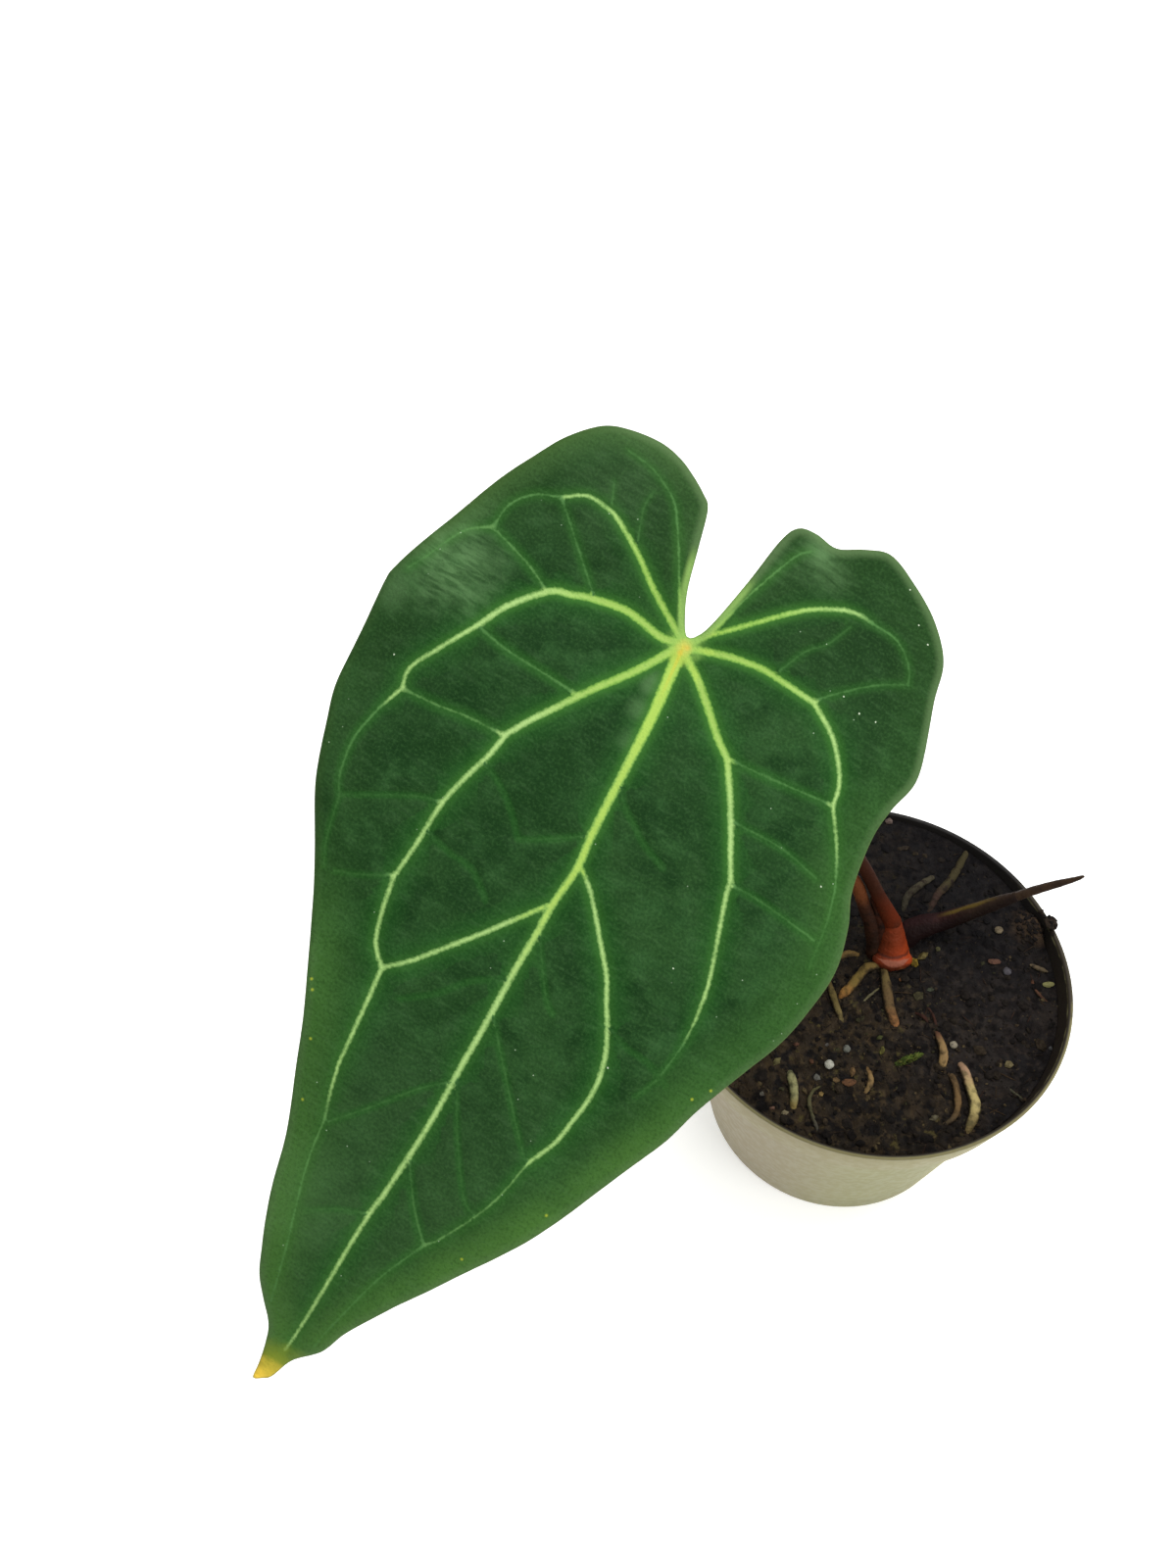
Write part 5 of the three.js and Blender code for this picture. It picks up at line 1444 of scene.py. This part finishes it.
# Old stalk
# The stump of an earlier leaf's stalk, still fast on the crown: drying, orange-brown, wrinkled
# lengthwise and shrivelled at its broken end.
OLD_STALK_PATH = [
    (3, 6.6, 70, 2.1),
    (2.9, 8.2, 80, 2.3),
    (1.1, 10.6, 90, 2.2),
    (-3.2, 12.4, 102, 1.95),
    (-6.3, 12.8, 111, 1.9),
    (-8.2, 12.6, 116, 1.2),
]
old_stalk = grow_stalk("old_stalk_skin", OLD_STALK_PATH, steps=14)
roughen(0.45, 1.6)
dry, shader, tree, place = new_finish("dried_stalk", Roughness=0.6, Specular_IOR_Level=0.08)
paint = coat(tree, colour(47, 26, 16), (34, 20, 13),
             patches(tree, place, 300, Detail=5, Low=0.42, High=0.62))
paint = coat(tree, paint, (92, 50, 25), spread(tree, axis_of(tree, place, 2), 0.1005, 0.1085))
finish(tree, shader, paint, place, Per_Metre=1100, Detail=4, Height=0.0004)
old_stalk.data.materials.append(dry)
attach(old_stalk, "root")
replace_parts(old_stalk, "old_stalk")

# Sheath remains
# What is left of the brown papery sheath that wrapped the two stalks while they were young. It has
# dried where it was, pressed between them above the crown.
REMAINS_PATH = [
    (4.6, 8.8, 77, 3.2),
    (4.3, 10.4, 85, 2.7),
    (3.4, 11.6, 92, 2),
    (1.2, 12.5, 99, 1.2),
    (-0.9, 12.8, 104, 0.5),
]
remains = grow_stalk("sheath_remains", REMAINS_PATH, steps=12)
roughen(0.7, 1.6)
papery, shader, tree, place = new_finish("sheath_paper", Roughness=0.8, Specular_IOR_Level=0.06)
paint = coat(tree, colour(52, 26, 16), (32, 19, 14),
             patches(tree, place, 260, Detail=5, Low=0.42, High=0.62))
finish(tree, shader, paint, place, Per_Metre=1100, Detail=4, Height=0.0005)
remains.data.materials.append(papery)
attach(remains, "root")

# New leaf and its sheath
# A young blade, still rolled into a pointed spear, stands in the papery maroon sheath that it
# grew through. A painted highlight shows as an olive line along the sheath's top.
SHEATH_PATH = [
    (12.6, 11.8, 73, 3.4),
    (14.4, 14.2, 81.4, 3.9),
    (18.6, 15.2, 84.2, 3.6),
    (24, 15.5, 86.5, 2.9),
    (31.2, 15.4, 92, 2.45),
    (38, 14.9, 98.1, 2),
    (42.2, 14.3, 102.2, 1.6),
]
NEW_LEAF_PATH = [
    (35.4, 15.1, 95.4, 1.1),
    (41, 14.5, 100.9, 1.4),
    (46.3, 13.5, 106.9, 1.35),
    (51.4, 12.4, 112.1, 1.15),
    (55.2, 11.3, 116.3, 0.8),
    (56.9, 10.7, 118.7, 0.35),
]
sheath = grow_stalk("sheath_skin", SHEATH_PATH, steps=14)
roughen(0.35, 2.2)
maroon, shader, tree, place = new_finish("sheath_maroon", Roughness=0.55, Specular_IOR_Level=0.06)
paint = coat(tree, colour(30, 13, 13), (38, 18, 16),
             patches(tree, place, 200, Detail=5, Low=0.42, High=0.66))
outward, farther = axis_of(tree, place, 0), axis_of(tree, place, 1)
paint = coat(tree, paint, (40, 28, 20), spread(tree, outward, 0.024, 0.033))
near_side = plus(tree, farther, times(tree, noise_of(tree, place, 240, 3), 0.0015))
paint = coat(tree, paint, (20, 13, 12), spread(tree, near_side, 0.0158, 0.0138), 0.7)

# A painted highlight: a line of olive, drawn along the sheath's far side near the top
off_highlight = minus(tree, farther, minus(tree, 0.0173, times(tree, outward, 0.03)))
off_highlight = plus(tree, off_highlight, times(tree, noise_of(tree, place, 200, 3), 0.001))
top_highlight = spread(tree, sum_of(tree, "ABSOLUTE", off_highlight), 0.0011, 0.0002)
under_line = minus(tree, axis_of(tree, place, 2), times(tree, outward, 0.85))
top_highlight = times(tree, top_highlight, spread(tree, under_line, 0.0655, 0.0665))
top_highlight = times(tree, top_highlight, spread(tree, outward, 0.021, 0.027))
top_highlight = times(tree, top_highlight, spread(tree, outward, 0.039, 0.033))
paint = coat(tree, paint, (82, 66, 24), top_highlight, 0.8)
finish(tree, shader, paint, place, Per_Metre=1000, Detail=4, Height=0.0004)
sheath.data.materials.append(maroon)
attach(sheath, "root")
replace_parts(sheath, "new_leaf_sheath")

spear = grow_stalk("new_leaf_roll", NEW_LEAF_PATH, steps=16)
roughen(0.2, 2)
rolled, shader, tree, place = new_finish("rolled_leaf", Roughness=0.5, Specular_IOR_Level=0.08)
paint = coat(tree, colour(52, 38, 27), (43, 31, 23),
             patches(tree, place, 300, Detail=5, Low=0.42, High=0.66))
finish(tree, shader, paint, place, Per_Metre=1000, Detail=4, Height=0.0003)
spear.data.materials.append(rolled)
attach(spear, "root")
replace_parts(spear, "new_leaf")

# Roots
# Thick aroid roots with a dull velvety skin, tan to pale yellow, which run over the mix and dive
# into it. Damp mix clings to their flanks, and loose ends of old roots lie between them.
MUD_SHARE = 0.45
MUD_COLOURS = [(24, 19, 16), (32, 26, 20), (40, 33, 25), (54, 43, 30)]

# x, y, height over the mix and radius, then the colours of the start, middle and end
ROOTS = {
    "root_crown_left": (
        [(4.4, 3.8, 0.6, 1.2), (2.6, 3.4, 1, 1.5), (0.1, 2.6, 1, 1.6), (-2.4, -0.2, 0.9, 1.7),
         (-5.4, -3.7, 0.6, 1.75), (-7.9, -6, 0.2, 1.5), (-9.1, -7.2, -3.4, 0.9)],
        (94, 76, 40), (98, 80, 40), (138, 94, 48)),
    "root_crown_front": (
        [(5.4, 2.4, 0.5, 1.2), (5.3, -1, 1, 1.6), (5.3, -4.5, 0.9, 1.85), (5.3, -8.6, 0.7, 1.85),
         (5.8, -12.4, 0.4, 1.9), (6.4, -15.6, -0.4, 1.7), (6.9, -17.8, -3.6, 1.1)],
        (86, 72, 42), (84, 66, 42), (124, 84, 50)),
    "root_left": (
        [(-9.6, 6, -2, 0.9), (-7, 6.9, 0.3, 1.2), (-4.4, 7.8, 0.5, 1.3), (-2, 7.8, -0.2, 1.1)],
        (84, 66, 36), (92, 72, 40), (92, 72, 40)),
    "root_thin_left": (
        [(-12, 1.6, -1.8, 0.8), (-11.5, -3.4, 0.45, 1.1), (-10.6, -8.5, 0.55, 1.2),
         (-9.6, -12.5, 0.3, 1.1), (-8.4, -16.2, -2.2, 0.8)],
        (70, 58, 33), (84, 72, 40), (110, 96, 60)),
    "root_loop_pale": (
        [(23.8, -27.4, -2, 1), (24.5, -30.2, 0.7, 1.5), (25.3, -33.6, 1, 1.6), (26, -37.4, 1, 1.7),
         (26.3, -41, 0.9, 1.9), (25.3, -44.4, 0.7, 1.8), (23.7, -47.2, 0.1, 1.4),
         (22.7, -49.6, -3, 0.9)],
        (142, 112, 88), (160, 144, 94), (108, 92, 58)),
    "root_loop_brown": (
        [(20.8, -30.6, -2, 0.9), (21.2, -33.2, 0.6, 1.2), (21.6, -36.4, 0.8, 1.3),
         (21.5, -39.8, 0.7, 1.3), (20.7, -42.8, 0.5, 1.1), (18.9, -45.1, 0.4, 0.85),
         (16.2, -45.8, -1.2, 0.7)],
        (84, 66, 44), (98, 76, 48), (68, 56, 40)),
    "root_middle": (
        [(18.4, -17.2, -1.6, 0.7), (18.6, -19, 0.5, 0.95), (19.1, -21.6, 0.8, 1.3),
         (19.3, -25, 0.8, 1.5), (18.7, -28.6, 0.2, 1.4), (18, -31.2, -2.8, 0.9)],
        (78, 50, 38), (122, 98, 64), (144, 118, 72)),
    "root_thin_red": (
        [(12.8, -11.2, -1.6, 0.6), (14.2, -12.7, 0.3, 0.7), (15.8, -14, 0.35, 0.7),
         (16.9, -15.3, -1.6, 0.6)],
        (54, 31, 24), (54, 31, 24), (50, 29, 23)),
    "root_pale_left": (
        [(-25.8, -29.2, -2.4, 1), (-25.7, -32, 0.6, 1.5), (-25.3, -35.6, 0.8, 1.6),
         (-25.4, -39, 0.5, 1.5), (-26.4, -42.2, -2, 1)],
        (112, 110, 78), (126, 122, 84), (124, 106, 60)),
}

# Loose ends of old roots on the mix, which no solid stands for
LOOSE_ROOTS = {
    "loose_hook": (
        [(-3.3, -29.2, -0.4, 0.8), (-2.7, -32, 0.4, 1.1), (-3, -34.4, 0.4, 1.1),
         (-4.3, -36.4, -0.5, 0.8)],
        (100, 76, 46), (120, 96, 62), (104, 84, 54)),
    "loose_curl": (
        [(-16.4, -34.2, -0.6, 0.5), (-19.4, -36, 0.2, 0.6), (-21, -39.2, 0.3, 0.75),
         (-20.6, -43.4, 0.1, 0.8), (-19.8, -46.7, 0, 0.6), (-18.9, -49.6, -0.8, 0.4)],
        (70, 66, 42), (72, 68, 46), (62, 58, 50)),
    "loose_orange": (
        [(50.4, 0.4, -0.4, 0.5), (50.8, -4.6, 0.3, 0.55), (53.4, -7.6, -0.4, 0.5)],
        (76, 50, 36), (76, 50, 36), (66, 46, 34)),
    "loose_red": (
        [(17.2, -10.4, -0.4, 0.5), (18.3, -13.4, 0.2, 0.55), (19, -16.6, -0.6, 0.5)],
        (52, 31, 24), (52, 31, 24), (48, 30, 24)),
    "loose_strand": (
        [(36.8, -34.8, -0.4, 0.4), (39, -37.2, 0.3, 0.45), (41.2, -39.5, -0.4, 0.4)],
        (66, 64, 50), (66, 64, 50), (60, 58, 44)),
    "loose_pale": (
        [(-1.8, -7.9, -0.4, 0.4), (1.2, -5.6, 0.3, 0.45), (3, -4, -0.2, 0.4)],
        (92, 86, 62), (96, 90, 66), (86, 80, 56)),
}


def over_mix(path):
    """A path given by heights over the mix, at its real heights."""
    return [(x, y, mix_height(x, y) + lift, radius) for x, y, lift, radius in path]


def grow_root(name, path, start_tint, tint, end_tint):
    """A root on the mix, in its own three colours, with dead patches, mix clinging to its flanks, and
    its lower flanks painted darker with mud and painted shade.
    """
    route = [(x, y, height - 0.15, 0.88 * radius) for x, y, height, radius in over_mix(path)]
    root = grow_stalk(f"{name}_skin", route, sides=16)
    middles = np.array([[*point, radius] for *point, radius in route])
    shares = np.linspace(0, 1, 12)[:, None]
    fine_path = np.concatenate([a + (b - a) * shares for a, b in zip(middles, middles[1:])])
    ahead = np.gradient(fine_path[:, :2], axis=0)
    for _ in range(round(len(fine_path) * MUD_SHARE)):
        at = dice.randrange(len(fine_path))
        side = Vector((-ahead[at][1], ahead[at][0])).normalized() * dice.choice((-1, 1))
        side = side * dice.uniform(0.75, 1.3) * fine_path[at][3]
        size = dice.uniform(0.25, 0.6)
        tone = colour(*dice.choice(MUD_COLOURS))
        lift = Vector((0, 0, 0.3 * size * MM))
        clings = on_mix(fine_path[at][0] + side.x, fine_path[at][1] + side.y) + lift
        sizes = (size * 1.2, size, size * 0.8)
        mud_copies.append((dice.choice(stones), clings, sizes, (0, 0, dice.uniform(0, 6)), tone))
    crest = []
    for vertex in root.data.vertices:
        at = np.array(vertex.co) / MM
        middle = fine_path[np.argmin(((fine_path[:, :3] - at) ** 2).sum(1))]
        crest.append((at[2] - middle[2]) / middle[3])
    root.data.attributes.new("crest", "FLOAT", "POINT").data.foreach_set("value", crest)
    roughen(0.5, 1.7)
    roughen(0.2, 0.5)
    material, shader, tree, place = new_finish(f"{name}_velvet", Roughness=0.75, Specular_IOR_Level=0.08)
    paint = colour(*tint)
    reach = (Vector(route[0][:3]) - Vector(route[-1][:3])).length * MM * 0.5
    for end, end_colour in ((route[0], start_tint), (route[-1], end_tint)):
        mask = spot_at(tree, place, Vector(end[:3]) * MM, reach, Soft=0.6)
        paint = coat(tree, paint, end_colour, mask)
    dead = patches(tree, place, 380, Detail=5, Low=0.48, High=0.66)
    paint = coat(tree, paint, shade(tint, 0.52), dead, 0.8)
    # The lower flanks are painted darker: partly mud, partly painted shade.
    flank_mud_and_shade = plus(tree, attribute_of(tree, "crest"), times(tree, noise_of(tree, place, 420, 4), 1.3))
    paint = coat(tree, paint, (34, 27, 20), spread(tree, flank_mud_and_shade, 1.55, 0.95), 0.92)
    finish(tree, shader, paint, place, Per_Metre=1500, Detail=4, Height=0.0004)
    root.data.materials.append(material)
    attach(root, "root")
    return root


mud_copies = []
for name, (path, *tints) in ROOTS.items():
    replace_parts(grow_root(name, path, *tints), name)
for name, (path, *tints) in LOOSE_ROOTS.items():
    grow_root(name, path, *tints)
root_mud = gather("root_mud", mud_copies)
root_mud.data.materials.append(crumbs.data.materials[0])
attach(root_mud, "root")

# Twigs
# Two weathered bits of woody stem that came with the mix and lie half sunk in it: olive-grey
# above, purple-brown at the buried end, split and knobbly.
TWIGS = {
    "twig_long": (
        [(36.2, 42.6, 1.2, 0.9), (32.6, 36.8, 1, 1.3), (28.5, 31.5, 0.8, 1.3),
         (25, 27.6, 0.6, 1.2), (22, 23, -0.8, 0.9)],
        (54, 48, 30), (52, 38, 32)),
    "twig_short": (
        [(24.6, 34.6, 0.4, 0.8), (21, 31.9, 0.8, 1.1), (17.8, 29.4, 0.8, 1.1),
         (15.6, 27, 0.5, 1.1), (14.2, 23.2, -1, 0.8)],
        (58, 53, 40), (50, 46, 36)),
}
for name, (path, tint, end_tint) in TWIGS.items():
    route = over_mix(path)
    twig = grow_stalk(f"{name}_bark", route, sides=16)
    roughen(0.6, 1.4)
    material, shader, tree, place = new_finish(f"{name}_weathered", Roughness=0.85,
                                               Specular_IOR_Level=0.1)
    paint = coat(tree, colour(*tint), end_tint,
                 spot_at(tree, place, Vector(route[-1][:3]) * MM, 0.012, Soft=0.6))
    paint = coat(tree, paint, (34, 27, 21), patches(tree, place, 420, Detail=5, Low=0.48, High=0.66))
    finish(tree, shader, paint, place, Per_Metre=1300, Detail=5, Height=0.0006)
    twig.data.materials.append(material)
    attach(twig, "root")
    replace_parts(twig, name)

# Moss
# A sprig of moss that came up in the mix: a thin stem, closely set all round with small pointed
# leaves that point along it.
MOSS_PATH = [(5, -28.2, 0, 0.6), (8.8, -26.8, 0.7, 1.2), (12.6, -25.5, 0.6, 0.5)]
MOSS_COLOURS = [(66, 80, 26), (76, 90, 32), (52, 64, 22), (84, 86, 38)]
moss_line = smooth_line([point[:3] for point in over_mix(MOSS_PATH)], 0.07)
leaflet = (np.array([(0, -0.5, 0), (0, 0.5, 0), (0.9, 0.35, 0.16), (0.9, -0.35, 0.16), (2, 0, 0.1),
                     (0.6, 0, -0.14)]),
           [(0, 3, 2, 1), (3, 4, 2), (0, 1, 5), (1, 2, 5), (2, 4, 5), (4, 3, 5), (3, 0, 5)])
copies = []
for i, point in enumerate(moss_line):
    share = i / len(moss_line)
    girth = 0.35 + 0.75 * math.sin(math.pi * share) ** 0.8
    around = i * 2.4
    beside = Vector((0.33 * math.cos(around), -0.94 * math.cos(around),
                     math.sin(around))) * girth * 0.8 * MM
    spin = (dice.uniform(-0.8, 0.8), -dice.uniform(0, 0.35), 0.35 + dice.uniform(-0.45, 0.45))
    tone = colour(*dice.choice(MOSS_COLOURS))
    copies.append((leaflet, Vector(point) * MM + beside, (0.62, 0.6, 0.5), spin, tone))
moss = gather("moss_leaves", copies)
moss.data.materials.append(dress_crumbs("moss_green", 0.7))
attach(moss, "root")
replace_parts(moss, "moss_sprig")

deselect_all()
